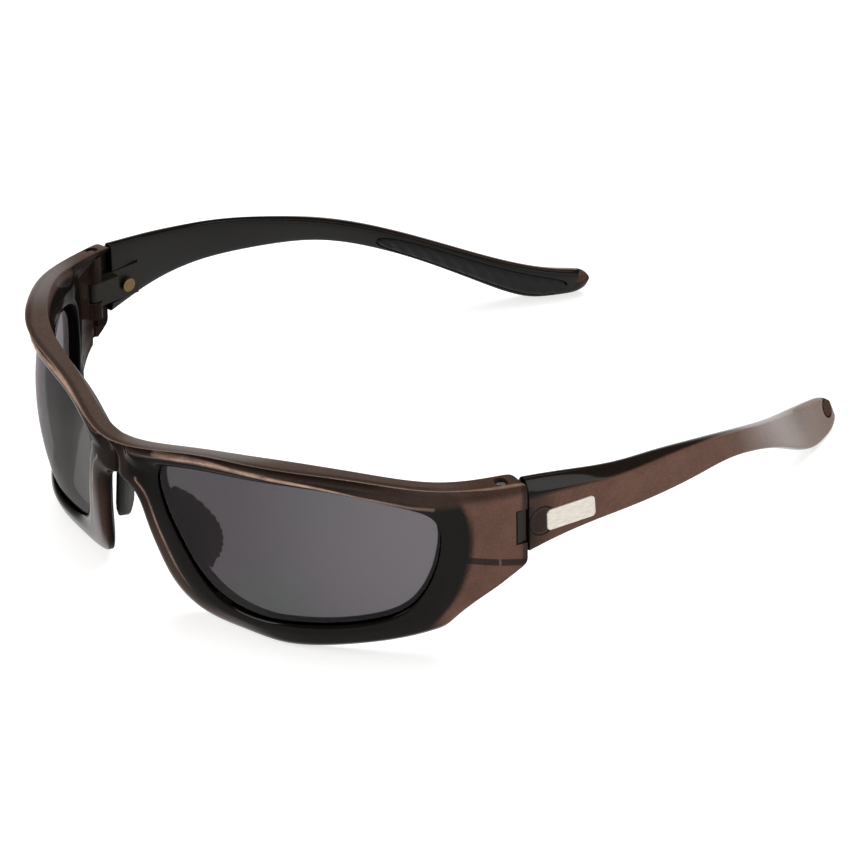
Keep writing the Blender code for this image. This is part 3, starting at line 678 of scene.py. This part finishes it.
def front_tints(x, y, z, normal, away):
    """Tone, painted copper highlight, painted sky reflection and dull shares at a point of the left half,
    given its distances to the guides.
    """
    ahead = ease(-normal[1], 0.0, 0.4)
    inside = ease(-normal[0], 0.2, 0.6)
    behind = ease(normal[1], 0.1, 0.5)

    # Brow's top: brown where it faces up, painted light from above, with a painted groove shade line behind
    # its front edge, which has a painted copper highlight; darker and duller towards the hinge.
    over = 1 - ease(away["crest"], 2.3, 3.2)
    painted_groove_shade = ease(away["edge"], 0.4, 0.75) * (1 - ease(away["edge"], 1.3, 1.9))
    top = over * ease(normal[2], 0.15, 0.6) * (1 - 0.75 * ease(y, 36.0, 44.0)) * (1 - 0.6 * painted_groove_shade)
    edge_glint = 0.3 * over * (1 - ease(away["edge"], 0.2, 0.55))
    hinge_end = 0.7 * over * ease(y, 34.0, 43.0)

    # Side panel and the shoulder above the lens: thin enough to look brown.
    panel = ease(x, 58.0, 61.0) * ease(away["opening"], 5.7, 7.0) * (1 - 0.9 * inside)
    panel *= (1 - 0.8 * ease(y, 49.8, 51.0)) * (1 - 0.6 * ease(z, 34.2, 35.8))
    shoulder = 0.3 * ahead * ease(x, 48.0, 58.0) * ease(z, 33.5, 35.5) * ease(away["opening"], 1.2, 2.4)

    # Beside the nose: a brown strip, and a painted copper highlight line between it and the lens.
    strip = (0.28 - 0.2 * ease(z, 17.0, 26.0)) * ahead * (1 - ease(away["nose_strip"], 1.6, 2.6))
    strip *= 1 - ease(x, 22.0, 33.0)
    nose_highlight_line = 0.5 * ease(z, 5.0, 14.0) * (1 - ease(away["nose_highlight"], 0.1, 0.4))
    bridge = 0.55 * ahead * (1 - ease(x, 7.0, 13.0))

    # Painted copper highlight along the ridge under the brow: widest at the bridge, faint past the groove.
    wide = 0.35 + 0.5 * (1 - ease(x, 16.0, 30.0))
    bead_highlight = (1 - ease(away["brow_highlight"], 0.5 * wide, wide + 0.2)) * (1 - 0.75 * ease(x, 44.0, 60.0))

    # Tone: brown share, its brow-top part painted light from above; then the painted copper highlight, the
    # painted grey sky reflection on the brow's top, and dull.
    return (max(0.5 * top, strip, shoulder, panel), max(bead_highlight, nose_highlight_line, edge_glint), 0.55 * top,
            max(0.8 * inside, 0.8 * behind, bridge, hinge_end))


def tint_frame(obj, inner):
    """Keep what the bronze material reads: tone (brown, not black, partly painted light), a painted copper
    highlight, a painted grey sky reflection and dull.
    """
    guides = {
        "opening": tree_of([place(s, z, face(z)) for s, z in inner]),
        "crest": tree_of(brow_line(0.5, 300)),
        "edge": tree_of(brow_line(0.0, 600)),
        "brow_highlight": tree_of(front_line(BROW_HIGHLIGHT)),
        "nose_highlight": tree_of(front_line(NOSE_HIGHLIGHT)),
        "nose_strip": tree_of(front_line(NOSE_STRIP)),
    }
    rows = []
    for p, vert in zip(design_points(obj), obj.data.vertices):
        side = math.copysign(1.0, p[0])
        here = (abs(p[0]), p[1], p[2])
        away = {name: tree.find(Vector(here))[2] for name, tree in guides.items()}
        rows.append(front_tints(*here, (vert.normal.x * side, vert.normal.y, vert.normal.z), away))
    for name, values in zip(("tone", "bead_highlight", "sky_reflection", "dull"), zip(*rows)):
        store(obj, name, values)


# ---------------------------------------------------------------- lens and pads

def lens(mat, rings=10):
    """Domed pane whose edge sits in the frame's groove."""
    inner, _, _ = outlines(6)
    edge = np.array([widened(inner, k, LENS_OVERLAP) for k in range(len(inner))])
    centre = edge.mean(axis=0)
    count = len(edge)
    points = []
    faces = []
    for depth in (LENS_INSET, LENS_INSET + LENS_THICKNESS):
        for ring in range(1, rings + 1):
            for k in range(count):
                reach = ring / rings
                s, z = centre + (edge[k] - centre) * reach
                points.append(place(s, z, face(z) + depth - LENS_DOME * (1 - reach ** 2)))
        points.append(place(centre[0], centre[1], face(centre[1]) + depth - LENS_DOME))
    sheet = rings * count + 1
    for first in (0, sheet):
        for ring in range(rings - 1):
            faces += band(first + ring * count, first + (ring + 1) * count, count)
        for k in range(count):
            faces.append((first + k, first + (k + 1) % count, first + sheet - 1))
    rim = (rings - 1) * count
    faces += band(rim, sheet + rim, count)
    return soften(build("lens_pane_left", points, faces, [mat]), 40)


def nasal_bar(z):
    """How far along the front the middle of a nasal bar lies at a height."""
    return BAR_AT[0] + BAR_SPREAD * (BAR_AT[1] - z)


def pad_outline():
    """Closed outline of a pad in its own plane: (back, up), with a scalloped rear edge."""
    outline = [(0.5, PAD_BOTTOM + 1.2), (0.1, PAD_BOTTOM + 3.0), (0.0, PAD_BOTTOM + 5.0),
               (0.0, PAD_TOP - 2.0), (0.4, PAD_TOP - 0.8)]
    steps = PAD_TEETH * 8
    for k in range(steps + 1):
        f = k / steps
        up = PAD_TOP - (PAD_TOP - PAD_BOTTOM) * f
        bulge = math.sin(math.pi * (0.07 + 0.86 * f) ** 0.9)
        tooth = TOOTH * abs(math.sin(math.pi * PAD_TEETH * f)) * (0.06 < f < 0.88)
        outline.append((1.2 + (PAD_REACH - 1.2) * bulge + tooth, up))
    return outline


def nose_pad(mat):
    """Soft pad: rounded edges, thinner towards the scalloped rim."""
    outline = pad_outline()
    middle = np.mean(outline, axis=0)
    along = np.array((math.sin(PAD_LEAN), math.cos(PAD_LEAN), 0.0))
    across = np.array((math.cos(PAD_LEAN), -math.sin(PAD_LEAN), 0.0))
    rings = []
    for t, shrink in ((-0.5, 0.86), (-0.44, 0.93), (-0.25, 0.985), (0.0, 1.0), (0.25, 0.985),
                      (0.44, 0.93), (0.5, 0.86)):
        ring = []
        for point in outline:
            back, up = middle + (np.array(point) - middle) * shrink
            start = place(nasal_bar(up), up, face(up) + RIM_DEPTH + PAD_STAND)
            bow = PAD_BOW * math.sin(math.pi * min(1.0, max(back, 0.0) / 8.0))
            ring.append(start + along * back + across * (t * PAD_THICKNESS - bow))
        rings.append(ring)
    return soften(build("nose_cushion_left", *loft(rings), [mat]), 60)


# ---------------------------------------------------------------- temples

def arm_half_depths(y):
    """Outer and inner half thickness of an arm about its edge line."""
    f = ease(y, ARM_Y, ARM_Y + ARM_EASE)
    g = min(1.0, max(0.0, (y - TIP_SHIFT_Y[0]) / (TIP_SHIFT_Y[1] - TIP_SHIFT_Y[0])))
    return ARM_OUTER * f + TIP_SHIFT * g, ARM_INNER[0] * (1 - f) + ARM_INNER[1] * f - TIP_SHIFT * g


def arm_frame(y):
    """Middle, outward and upward vectors of the arm's section at y."""
    xt, zt, xb, zb = (float(f(y)) for f in temple_at)
    top = np.array((xt, y, zt))
    bottom = np.array((xb, y, zb))
    up = top - bottom
    height = float(np.linalg.norm(up))
    up = up / height
    return (top + bottom) / 2, np.array((up[2], 0.0, -up[0])), up, height


def arm_section(y):
    """Closed section of the arm, shrinking over the rounded tip."""
    middle, outward, up, height = arm_frame(y)
    outer, inner = arm_half_depths(y)
    end = max(0.0, (y - (LENGTH - TIP)) / TIP)
    round_off = math.sqrt(max(0.0, 1 - end * end)) * 0.5 + 0.5
    bevel = 1 - 0.75 * ease(y, *BEVEL_FADE_Y)
    ring = []
    for a, b in ARM_PROFILE:
        if b > 0.3 and a > 0.3:
            b = 1 - (1 - b) * (0.35 + 0.65 * bevel)
        through = (outer - inner) / 2 + a * (outer + inner) / 2 * (0.4 + 0.6 * round_off)
        p = middle + outward * through + up * (b * height / 2 * round_off)
        ring.append(np.array((p[0], p[1], max(p[2], 0.0))))
    return ring


def arm_stations():
    """y of each section: crisp at the seam, even along the arm, close at the tip."""
    straight = [ARM_Y, ARM_Y + 0.2] + list(np.linspace(ARM_Y + 1.3, LENGTH - TIP, 36))
    tip = [LENGTH - TIP * (1 - math.sin(a)) for a in np.linspace(0, math.pi / 2, 7)[1:]]
    return straight + tip[:-1] + [LENGTH - 0.12, LENGTH]


def badge_outline(extra, arc=9):
    """Round-cornered outline of the side plate (y, z), grown by a margin."""
    (y0, y1), (z0, z1), (h0, h1) = BADGE_Y, BADGE_Z, BADGE_HEIGHT
    corners = ((y0 - extra, z0 - h0 / 2 - extra), (y1 + extra, z1 - h1 / 2 - extra),
               (y1 + extra, z1 + h1 / 2 + extra), (y0 - extra, z0 + h0 / 2 + extra))
    outline = []
    r = BADGE_CORNER + extra
    for k, (y, z) in enumerate(corners):
        cy = y + r * (1 if k in (0, 3) else -1)
        cz = z + r * (1 if k in (0, 1) else -1)
        start = math.pi * (1 + k / 2)
        for a in np.linspace(start, start + math.pi / 2, arc):
            outline.append((cy + r * math.cos(a), cz + r * math.sin(a)))
    return outline


def skin_x(y, z):
    """x of the arm's outer face at y, z near the plate."""
    middle, outward, up, _ = arm_frame(y)
    outer, _ = arm_half_depths(y)
    p = middle + outward * outer
    return float(p[0] + up[0] * (z - p[2]) / up[2])


def badge_shape(levels):
    """Plate or recess that follows the arm's outer face: (outline margin, offset) levels."""
    y0, y1 = BADGE_Y
    rings = []
    for extra, offset in levels:
        ring = []
        for y, z in badge_outline(extra):
            f = (y - y0) / (y1 - y0)
            base = skin_x(y0, z) * (1 - f) + skin_x(y1, z) * f
            ring.append(np.array((base + offset, y, z)))
        rings.append(ring)
    return loft(rings)


def grip_shape(extra, proud, steps=60):
    """Soft band on the inner face of a tip; slanting ribs when proud."""
    y0, y1 = GRIP_Y
    across = np.linspace(-1, 1, 13) if proud else (-1.0, -0.5, 0.0, 0.5, 1.0)
    rings = []
    for y in np.linspace(y0 - extra, y1 + extra, steps):
        middle, outward, up, height = arm_frame(y)
        _, inner = arm_half_depths(y)
        f = (y - y0) / (y1 - y0)
        taper = math.sqrt(max(0.0, 1 - (2 * min(max(f, 0.0), 1.0) - 1) ** 6)) * 0.75 + 0.25
        half = height * GRIP_SHARE * taper + extra
        depth = -inner - (GRIP_PROUD if proud else 1.0)
        ring = []
        for b in across:
            wave = 0.5 + 0.5 * math.sin(2 * math.pi * (GRIP_RIBS * f + 0.6 * b))
            rib = -RIB * wave ** 1.6 * (1 - b ** 4) if proud else 0.0
            edge = 0.3 * b ** 6 if proud else 0.0
            ring.append(middle + up * (half * b) + outward * (depth + 0.15 + edge + rib))
        for b in (1.0, -1.0):
            ring.append(middle + up * (half * b) + outward * (-inner + GRIP_DEPTH + extra))
        rings.append(ring)
    return loft(rings)


def temple_arm(mats):
    """Arm with a clear bronze outside and a dark soft inner face."""
    arm = build("arm_shell_left", *loft([arm_section(y) for y in arm_stations()]), [mats[0]])
    subdivide(arm, 2)
    boolean(arm, [
        prism(rectangle(POCKET_X[0], POCKET_X[1], *POCKET_Y), *POCKET_Z),
        turned(((POCKET_X[1] - 0.5, BOSS_R + GAP), (BOSS_TOP + GAP, BOSS_R + GAP)), "x", BOSS),
        badge_shape(((0.12, -BADGE_DEPTH - GAP), (0.12, 3.0))),
        grip_shape(GAP, False),
    ])
    arm.data.materials.append(mats[1])
    for poly in arm.data.polygons:
        y = poly.center.y / MM + HALF_LENGTH
        _, outward, _, _ = arm_frame(min(max(y, ARM_Y), LENGTH))
        poly.material_index = 1 if poly.normal.dot(Vector(outward)) < -0.6 and y < LENGTH - 3 else 0
    tint_arm(arm)
    return soften(arm)


def tint_arm(arm):
    """Dark along the upper bevel and the top edge, a painted dark reflection, and dark on everything that
    faces the wearer; a painted highlight at the tip.
    """
    tones = []
    tip_highlight = []
    for p, vert in zip(design_points(arm), arm.data.vertices):
        y = min(max(p[1], ARM_Y), LENGTH)
        middle, outward, up, height = arm_frame(y)
        rise = float((p - middle) @ up) / (height / 2)
        edge = 0.52 + 0.4 * ease(y, 58.0, 125.0)
        # Painted dark reflection along the upper bevel and the top edge, fading towards the tip.
        band = ease(rise, edge - 0.1, edge + 0.04) * (1 - ease(y, 110.0, 135.0))
        away = ease(vert.normal.dot(Vector(outward)), 0.15, 0.5)
        body = 0.86 + 0.14 * ease(y, 60.0, 72.0) - 0.2 * ease(y, 75.0, 130.0)
        front_end = 0.55 * (1 - ease(y, 52.5, 60.0))
        tones.append((1 - 0.95 * band) * (0.04 + 0.96 * away) * (body - front_end))
        # Painted highlight on the outer face of the tip.
        tip_highlight.append(0.75 * away * ease(y, 143.0, 152.0))
    store(arm, "tone", tones)
    store(arm, "tip_highlight", tip_highlight)


# ---------------------------------------------------------------- materials

class Nodes:
    """Short way to wire a node tree."""

    def __init__(self, name):
        self.mat = bpy.data.materials.new(name)
        self.mat.use_nodes = True
        self.tree = self.mat.node_tree
        self.shader = self.tree.nodes["Principled BSDF"]
        self.output = self.tree.nodes["Material Output"]
        self.coords = self.new("TexCoord").outputs["Object"]

    def link(self, value, socket):
        if isinstance(value, bpy.types.NodeSocket):
            self.tree.links.new(value, socket)
        else:
            socket.default_value = value

    def new(self, kind, **inputs):
        """New node with its inputs set or linked by name."""
        node = self.tree.nodes.new("ShaderNode" + kind)
        for name, value in inputs.items():
            self.link(value, node.inputs[name])
        return node

    def math(self, operation, a, b=0.0, clamp=False):
        node = self.new("Math")
        node.operation = operation
        node.use_clamp = clamp
        self.link(a, node.inputs[0])
        self.link(b, node.inputs[1])
        return node.outputs[0]

    def times(self, value, *factors):
        for factor in factors:
            value = self.math("MULTIPLY", value, factor)
        return value

    def split(self, vector):
        return self.new("SeparateXYZ", Vector=vector).outputs

    def noise(self, scale, detail=3.0, roughness=0.5, vector=None):
        node = self.new("TexNoise", Scale=scale, Detail=detail, Roughness=roughness,
                        Vector=vector or self.coords)
        return node.outputs["Fac"]

    def cells(self, scale):
        """Voronoi cells: a random number per cell, and the distance from its middle."""
        node = self.new("TexVoronoi", Scale=scale, Vector=self.coords)
        return self.split(node.outputs["Color"])[0], node.outputs["Distance"]

    def scaled(self, vector, factors):
        return self.new("Mapping", Scale=factors, Vector=vector).outputs[0]

    def ramp(self, value, low, high, to_low=0.0, to_high=1.0):
        node = self.new("MapRange")
        node.interpolation_type = "SMOOTHSTEP"
        for socket, number in zip(node.inputs, (value, low, high, to_low, to_high)):
            self.link(number, socket)
        return node.outputs[0]

    def mix(self, share, a, b):
        node = self.new("Mix")
        node.data_type = "RGBA"
        self.link(share, node.inputs["Factor"])
        self.link((*a, 1.0) if isinstance(a, tuple) else a, node.inputs["A"])
        self.link((*b, 1.0) if isinstance(b, tuple) else b, node.inputs["B"])
        return node.outputs["Result"]

    def bump(self, height, strength, distance):
        return self.new("Bump", Strength=strength, Distance=distance, Height=height).outputs[0]

    def attribute(self, name):
        node = self.new("Attribute")
        node.attribute_name = name
        return node.outputs["Fac"]

    def facing(self):
        """0 where the surface is seen square on, 1 at its edge."""
        return self.new("LayerWeight").outputs["Facing"]

    def set(self, **sockets):
        for name, value in sockets.items():
            self.link(value, self.shader.inputs[name.replace("_", " ")])
        return self


def inside_band(n, value, middle, half, soft):
    """1 within half of the middle, 0 outside, with a soft edge."""
    away = n.math("ABSOLUTE", n.math("SUBTRACT", value, middle))
    return n.ramp(away, half, half + soft, 1.0, 0.0)


def scene_y(y):
    return (y - HALF_LENGTH) * MM


def side_radius(n, centre):
    """Distance from a point (y, z) in the side view."""
    _, y, z = n.split(n.coords)
    dy = n.math("SUBTRACT", y, scene_y(centre[0]))
    dz = n.math("SUBTRACT", z, centre[1] * MM)
    return n.math("SQRT", n.math("ADD", n.times(dy, dy), n.times(dz, dz)))


def seen_through_arm(n):
    """The block's boss, as a dark disc and ring, and its tongue at the seam."""
    radius = side_radius(n, RING_AT)
    ring = inside_band(n, radius, RING_R * MM, 0.16 * MM, 0.12 * MM)
    boss = n.ramp(radius, 2.3 * MM, 2.7 * MM, 0.62, 0.0)
    _, y, z = n.split(n.coords)
    front_end = n.ramp(y, scene_y(TONGUE_Y[0]), scene_y(TONGUE_Y[1]), 0.55, 0.0)
    (low0, low1), (high0, high1) = TONGUE_Z
    low = n.ramp(z, low0 * MM, low1 * MM, 0.0, 1.0)
    high = n.ramp(z, high0 * MM, high1 * MM, 1.0, 0.0)
    tongue = n.times(low, high, front_end)
    return n.math("MAXIMUM", n.math("MAXIMUM", ring, boss), tongue)


def seen_through_panel(n):
    """Dark ledge along the inside of the frame's side panel, with one lighter notch."""
    x, y, z = n.split(n.coords)
    drop = n.times(n.math("SUBTRACT", y, scene_y(LEDGE_AT[0])), LEDGE_SLOPE)
    across = n.math("ADD", n.math("SUBTRACT", z, LEDGE_AT[1] * MM), drop)
    bar = inside_band(n, across, 0.0, 0.62 * MM, 0.25 * MM)
    start = n.ramp(y, scene_y(LEDGE_START[0]), scene_y(LEDGE_START[1]))
    side = n.ramp(n.math("ABSOLUTE", x), LEDGE_X[0] * MM, LEDGE_X[1] * MM)
    notch = inside_band(n, y, scene_y(NOTCH_Y), 0.16 * MM, 0.14 * MM)
    dark = n.times(bar, start, side)
    return n.times(dark, n.math("SUBTRACT", 0.82, notch, clamp=True))


def end_of_core(n):
    """Round end of the arm's core at the tip: its face and its outline."""
    radius = side_radius(n, CORE_AT)
    return (n.ramp(radius, (CORE_R - 0.15) * MM, CORE_R * MM, 1.0, 0.0),
            inside_band(n, radius, CORE_R * MM, 0.12 * MM, 0.1 * MM))


def bronze(name, shapes_behind, core=None):
    """Clear bronze plastic full of fine copper flake, under a glossy skin.

    Reads the shares kept on the mesh: tone, the painted copper highlight, the painted grey sky reflection,
    dull and the painted highlight at the arm's tip. A mesh without one reads 0.
    """
    n = Nodes(name)
    tone = n.attribute("tone")
    shade = n.math("MULTIPLY", tone, n.math("SUBTRACT", 1.0, shapes_behind(n)), clamp=True)
    cloudy = n.noise(160.0, 4.0, 0.6)
    chance, distance = n.cells(5200.0)
    fine, _ = n.cells(9000.0)
    flake = n.times(n.ramp(chance, 0.72, 0.95), n.ramp(distance, 0.1, 0.5, 1.0, 0.0))
    dust = n.ramp(fine, 0.5, 1.0)
    lit = n.math("ADD", n.times(shade, 0.9), 0.06)
    shiny = n.times(flake, lit)
    # Painted copper highlight, broken up by the cloud noise.
    bead_highlight = n.times(n.attribute("bead_highlight"), n.ramp(cloudy, 0.3, 0.62, 0.45, 1.0))

    body = n.mix(shade, DEEP, BRONZE)
    body = n.mix(n.times(n.ramp(cloudy, 0.3, 0.75), 0.3), body, CLOUD)
    body = n.mix(n.times(dust, lit, 0.3), body, DUST)
    body = n.mix(n.times(shiny, 0.4), body, FLAKE)
    # Painted grey sky reflection on the brow's top, painted copper highlight, painted highlight at the arm's
    # tip.
    body = n.mix(n.attribute("sky_reflection"), body, n.mix(dust, *GREY_SKY_REFLECTION))
    body = n.mix(bead_highlight, body, n.mix(dust, *COPPER_HIGHLIGHT))
    body = n.mix(n.attribute("tip_highlight"), body, n.mix(dust, *PALE_HIGHLIGHT))
    polish = n.times(n.ramp(n.facing(), 0.5, 0.74, 0.22, 0.8), n.math("SUBTRACT", 1.0, n.attribute("dull")))
    if core:
        core_face, core_outline = core(n)
        polish = n.times(polish, n.math("SUBTRACT", 1.0, core_face))
        body = n.mix(core_face, body, n.mix(dust, *CORE))
        body = n.mix(core_outline, body, OUTLINE)
    n.set(Base_Color=body, Roughness=n.ramp(cloudy, 0.2, 0.8, 0.3, 0.42),
          Metallic=n.times(shiny, 0.5), Coat_Weight=polish,
          Coat_Roughness=0.07, Specular_IOR_Level=0.0, Normal=n.bump(chance, 0.2, 0.00003))
    return n.mat


def smoke_lens():
    """Dark grey clear pane with a faintly coloured polished reflection, stronger where seen edge-on."""
    n = Nodes("smoke_pane")
    tree = n.tree
    clear = n.new("BsdfTransparent")
    gloss = n.new("BsdfGlossy", Roughness=0.03)
    polish = n.math("MULTIPLY_ADD", n.math("POWER", n.facing(), 5.0), 0.9)
    polish.node.inputs[2].default_value = 0.04
    blend = n.new("MixShader")
    sheen = n.ramp(n.noise(26.0, 1.0), 0.38, 0.62)
    outer = n.ramp(n.math("ABSOLUTE", n.split(n.coords)[0]), 22.0 * MM, 60.0 * MM)
    n.link(n.mix(outer, n.mix(sheen, *LENS_NASAL), n.mix(sheen, *LENS_TEMPORAL)), clear.inputs["Color"])
    n.link(n.mix(sheen, *LENS_GLOSS), gloss.inputs["Color"])
    tree.links.new(polish, blend.inputs[0])
    tree.links.new(clear.outputs[0], blend.inputs[1])
    tree.links.new(gloss.outputs[0], blend.inputs[2])
    tree.links.new(blend.outputs[0], n.output.inputs["Surface"])
    tree.nodes.remove(n.shader)
    return n.mat


def soft_black(name, color, grain, roughness, strength=0.35):
    """Fine-grained soft moulding, with slight colour and gloss variation."""
    n = Nodes(name)
    fine = n.noise(grain, 5.0, 0.65)
    broad = n.noise(90.0, 2.0)
    darker = tuple(c * 0.55 for c in color)
    lighter = tuple(c * 1.5 for c in color)
    body = n.mix(fine, darker, lighter)
    n.set(Base_Color=n.mix(n.times(broad, 0.4), body, darker), Specular_IOR_Level=0.12,
          Roughness=n.ramp(fine, 0.2, 0.8, roughness - 0.08, roughness + 0.08),
          Normal=n.bump(fine, strength, 0.00004))
    return n.mat


def brushed(name, color, roughness, along=(1.0, 0.06, 1.0), metallic=1.0):
    """Metal with fine lines along one axis and a little tarnish."""
    n = Nodes(name)
    lines = n.noise(5200.0, 3.0, 0.6, n.scaled(n.coords, along))
    patches = n.noise(700.0, 3.0)
    darker = tuple(c * 0.72 for c in color)
    body = n.mix(n.ramp(lines, 0.3, 0.7), darker, color)
    n.set(Base_Color=n.mix(n.times(patches, 0.3), body, darker), Metallic=metallic,
          Roughness=n.ramp(lines, 0.25, 0.75, roughness - 0.07, roughness + 0.07),
          Normal=n.bump(lines, 0.08, 0.00002))
    return n.mat


# ---------------------------------------------------------------- stage

def area_light(name, at, target, size, power):
    """Rectangular white light turned towards a target."""
    data = bpy.data.lights.new(name, "AREA")
    data.shape = "RECTANGLE"
    data.size, data.size_y = size
    data.energy = power
    obj = add(name, data)
    obj.location = at
    obj.rotation_euler = (Vector(target) - Vector(at)).to_track_quat("-Z", "Y").to_euler()


def surround():
    """Dim warm surround with a white backdrop just above the floor's horizon."""
    world_data = bpy.data.worlds.new("surround")
    world_data.use_nodes = True
    tree = world_data.node_tree
    coords = tree.nodes.new("ShaderNodeTexCoord")
    split = tree.nodes.new("ShaderNodeSeparateXYZ")
    height = tree.nodes.new("ShaderNodeMapRange")
    height.interpolation_type = "SMOOTHSTEP"
    for name, value in (("From Min", 0.2), ("From Max", 0.42), ("To Min", 0.75), ("To Max", 0.15)):
        height.inputs[name].default_value = value
    back = tree.nodes["Background"]
    back.inputs["Color"].default_value = (1.0, 0.98, 0.95, 1.0)
    tree.links.new(coords.outputs["Generated"], split.inputs[0])
    tree.links.new(split.outputs[2], height.inputs["Value"])
    tree.links.new(height.outputs[0], back.inputs["Strength"])
    return world_data


def studio():
    """Pale floor and soft boxes."""
    mesh = bpy.data.meshes.new("floor")
    mesh.from_pydata([(-4, -4, 0), (4, -4, 0), (4, 4, 0), (-4, 4, 0)], [], [(0, 1, 2, 3)])
    n = Nodes("floor_white")
    tint = n.noise(3.0, 2.0)
    n.set(Base_Color=n.mix(tint, (0.44, 0.44, 0.44), (0.46, 0.46, 0.46)), Roughness=0.9,
          Specular_IOR_Level=0.0, Emission_Color=(1.0, 0.995, 0.985, 1.0), Emission_Strength=0.72)
    mesh.materials.append(n.mat)
    floor = add("floor", mesh)
    bpy.context.scene.world = surround()
    area_light("box_top", (-0.15, 0.25, 1.0), (0, 0, 0), (1.1, 0.9), 13.0)
    area_light("box_front", (-0.55, -0.9, 0.75), (0, 0, 0.02), (0.6, 0.45), 6.5)
    area_light("box_right", (1.0, 0.35, 0.35), (0, 0, 0.02), (0.6, 0.5), 3.5)
    bpy.context.scene.view_settings.view_transform = "Standard"


def camera():
    """Long lens, above and to the wearer's left of the front."""
    azimuth, elevation, roll = (math.radians(a) for a in (AZIMUTH, ELEVATION, ROLL))
    back = Vector((math.sin(azimuth) * math.cos(elevation), -math.cos(azimuth) * math.cos(elevation),
                   math.sin(elevation)))
    level = Vector((math.cos(azimuth), math.sin(azimuth), 0.0))
    rise = back.cross(level)
    right = level * math.cos(roll) + rise * math.sin(roll)
    up = rise * math.cos(roll) - level * math.sin(roll)
    data = bpy.data.cameras.new("camera")
    data.sensor_width = 36.0
    data.lens = FOCAL_LENGTH
    data.clip_end = 10.0
    obj = add("camera", data)
    obj.matrix_world = Matrix((right, up, back)).transposed().to_4x4()
    obj.location = CAMERA_AT
    bpy.context.scene.camera = obj


# ---------------------------------------------------------------- the glasses

def stand_in(obj, body, node):
    """Let a piece move with a body, in place of a CAD node."""
    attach(obj, body)
    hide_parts(node)


def pair(left, right_name, bodies, node):
    """Stand a left-hand piece and its mirror image in for a pair of CAD nodes."""
    right = mirrored(left, right_name)
    stand_in(left, bodies[0], f"{node}_left")
    stand_in(right, bodies[1], f"{node}_right")


def main():
    front = ("front", "front")
    temples = ("temple_left", "temple_right")
    frame_mat = bronze("bronze_frame", seen_through_panel)
    arm_mat = bronze("bronze_arm", seen_through_arm, end_of_core)
    inner_mat = soft_black("soft_inner_face", (0.0075, 0.0068, 0.0062), 2600.0, 0.5)
    pad_mat = soft_black("pad_rubber", (0.009, 0.008, 0.007), 1800.0, 0.6)
    grip_mat = soft_black("grip_rubber", (0.008, 0.008, 0.008), 2200.0, 0.55)
    block_mat = soft_black("insert_black", (0.015, 0.012, 0.009), 1500.0, 0.35, 0.15)
    plate_mat = brushed("silver_plate", (0.78, 0.725, 0.65), 0.42, metallic=0.2)
    steel_mat = brushed("dark_steel", (0.2, 0.19, 0.18), 0.35)
    brass_mat = brushed("brass", (0.16, 0.11, 0.05), 0.38)

    stand_in(front_frame([frame_mat]), "front", "front_frame")
    pair(lens(smoke_lens()), "lens_pane_right", front, "lens")
    pair(nose_pad(pad_mat), "nose_cushion_right", front, "nose_pad")
    pair(temple_arm([arm_mat, inner_mat]), "arm_shell_right", temples, "temple_arm")
    plate = badge_shape(((-0.12, -BADGE_DEPTH), (0.0, -BADGE_DEPTH + 0.1), (0.0, 0.04), (-0.05, 0.12),
                         (-0.14, 0.15), (-0.42, 0.15), (-0.5, 0.1), (-0.62, 0.1)))
    pair(soften(build("plate_left", *plate, [plate_mat])), "plate_right", temples, "badge")
    grip = build("grip_band_left", *grip_shape(0.0, True), [grip_mat])
    pair(soften(grip, 50), "grip_band_right", temples, "temple_grip")

    kept = {"hinge_block": block_mat, "hinge_screw": steel_mat, "hinge_nut": brass_mat,
            "insert_screw": brass_mat}
    for kind, mat in kept.items():
        for side in ("left", "right"):
            node = frame["nodes"][f"{kind}_{side}"]
            node.data.materials.clear()
            node.data.materials.append(mat)

    studio()
    camera()


main()
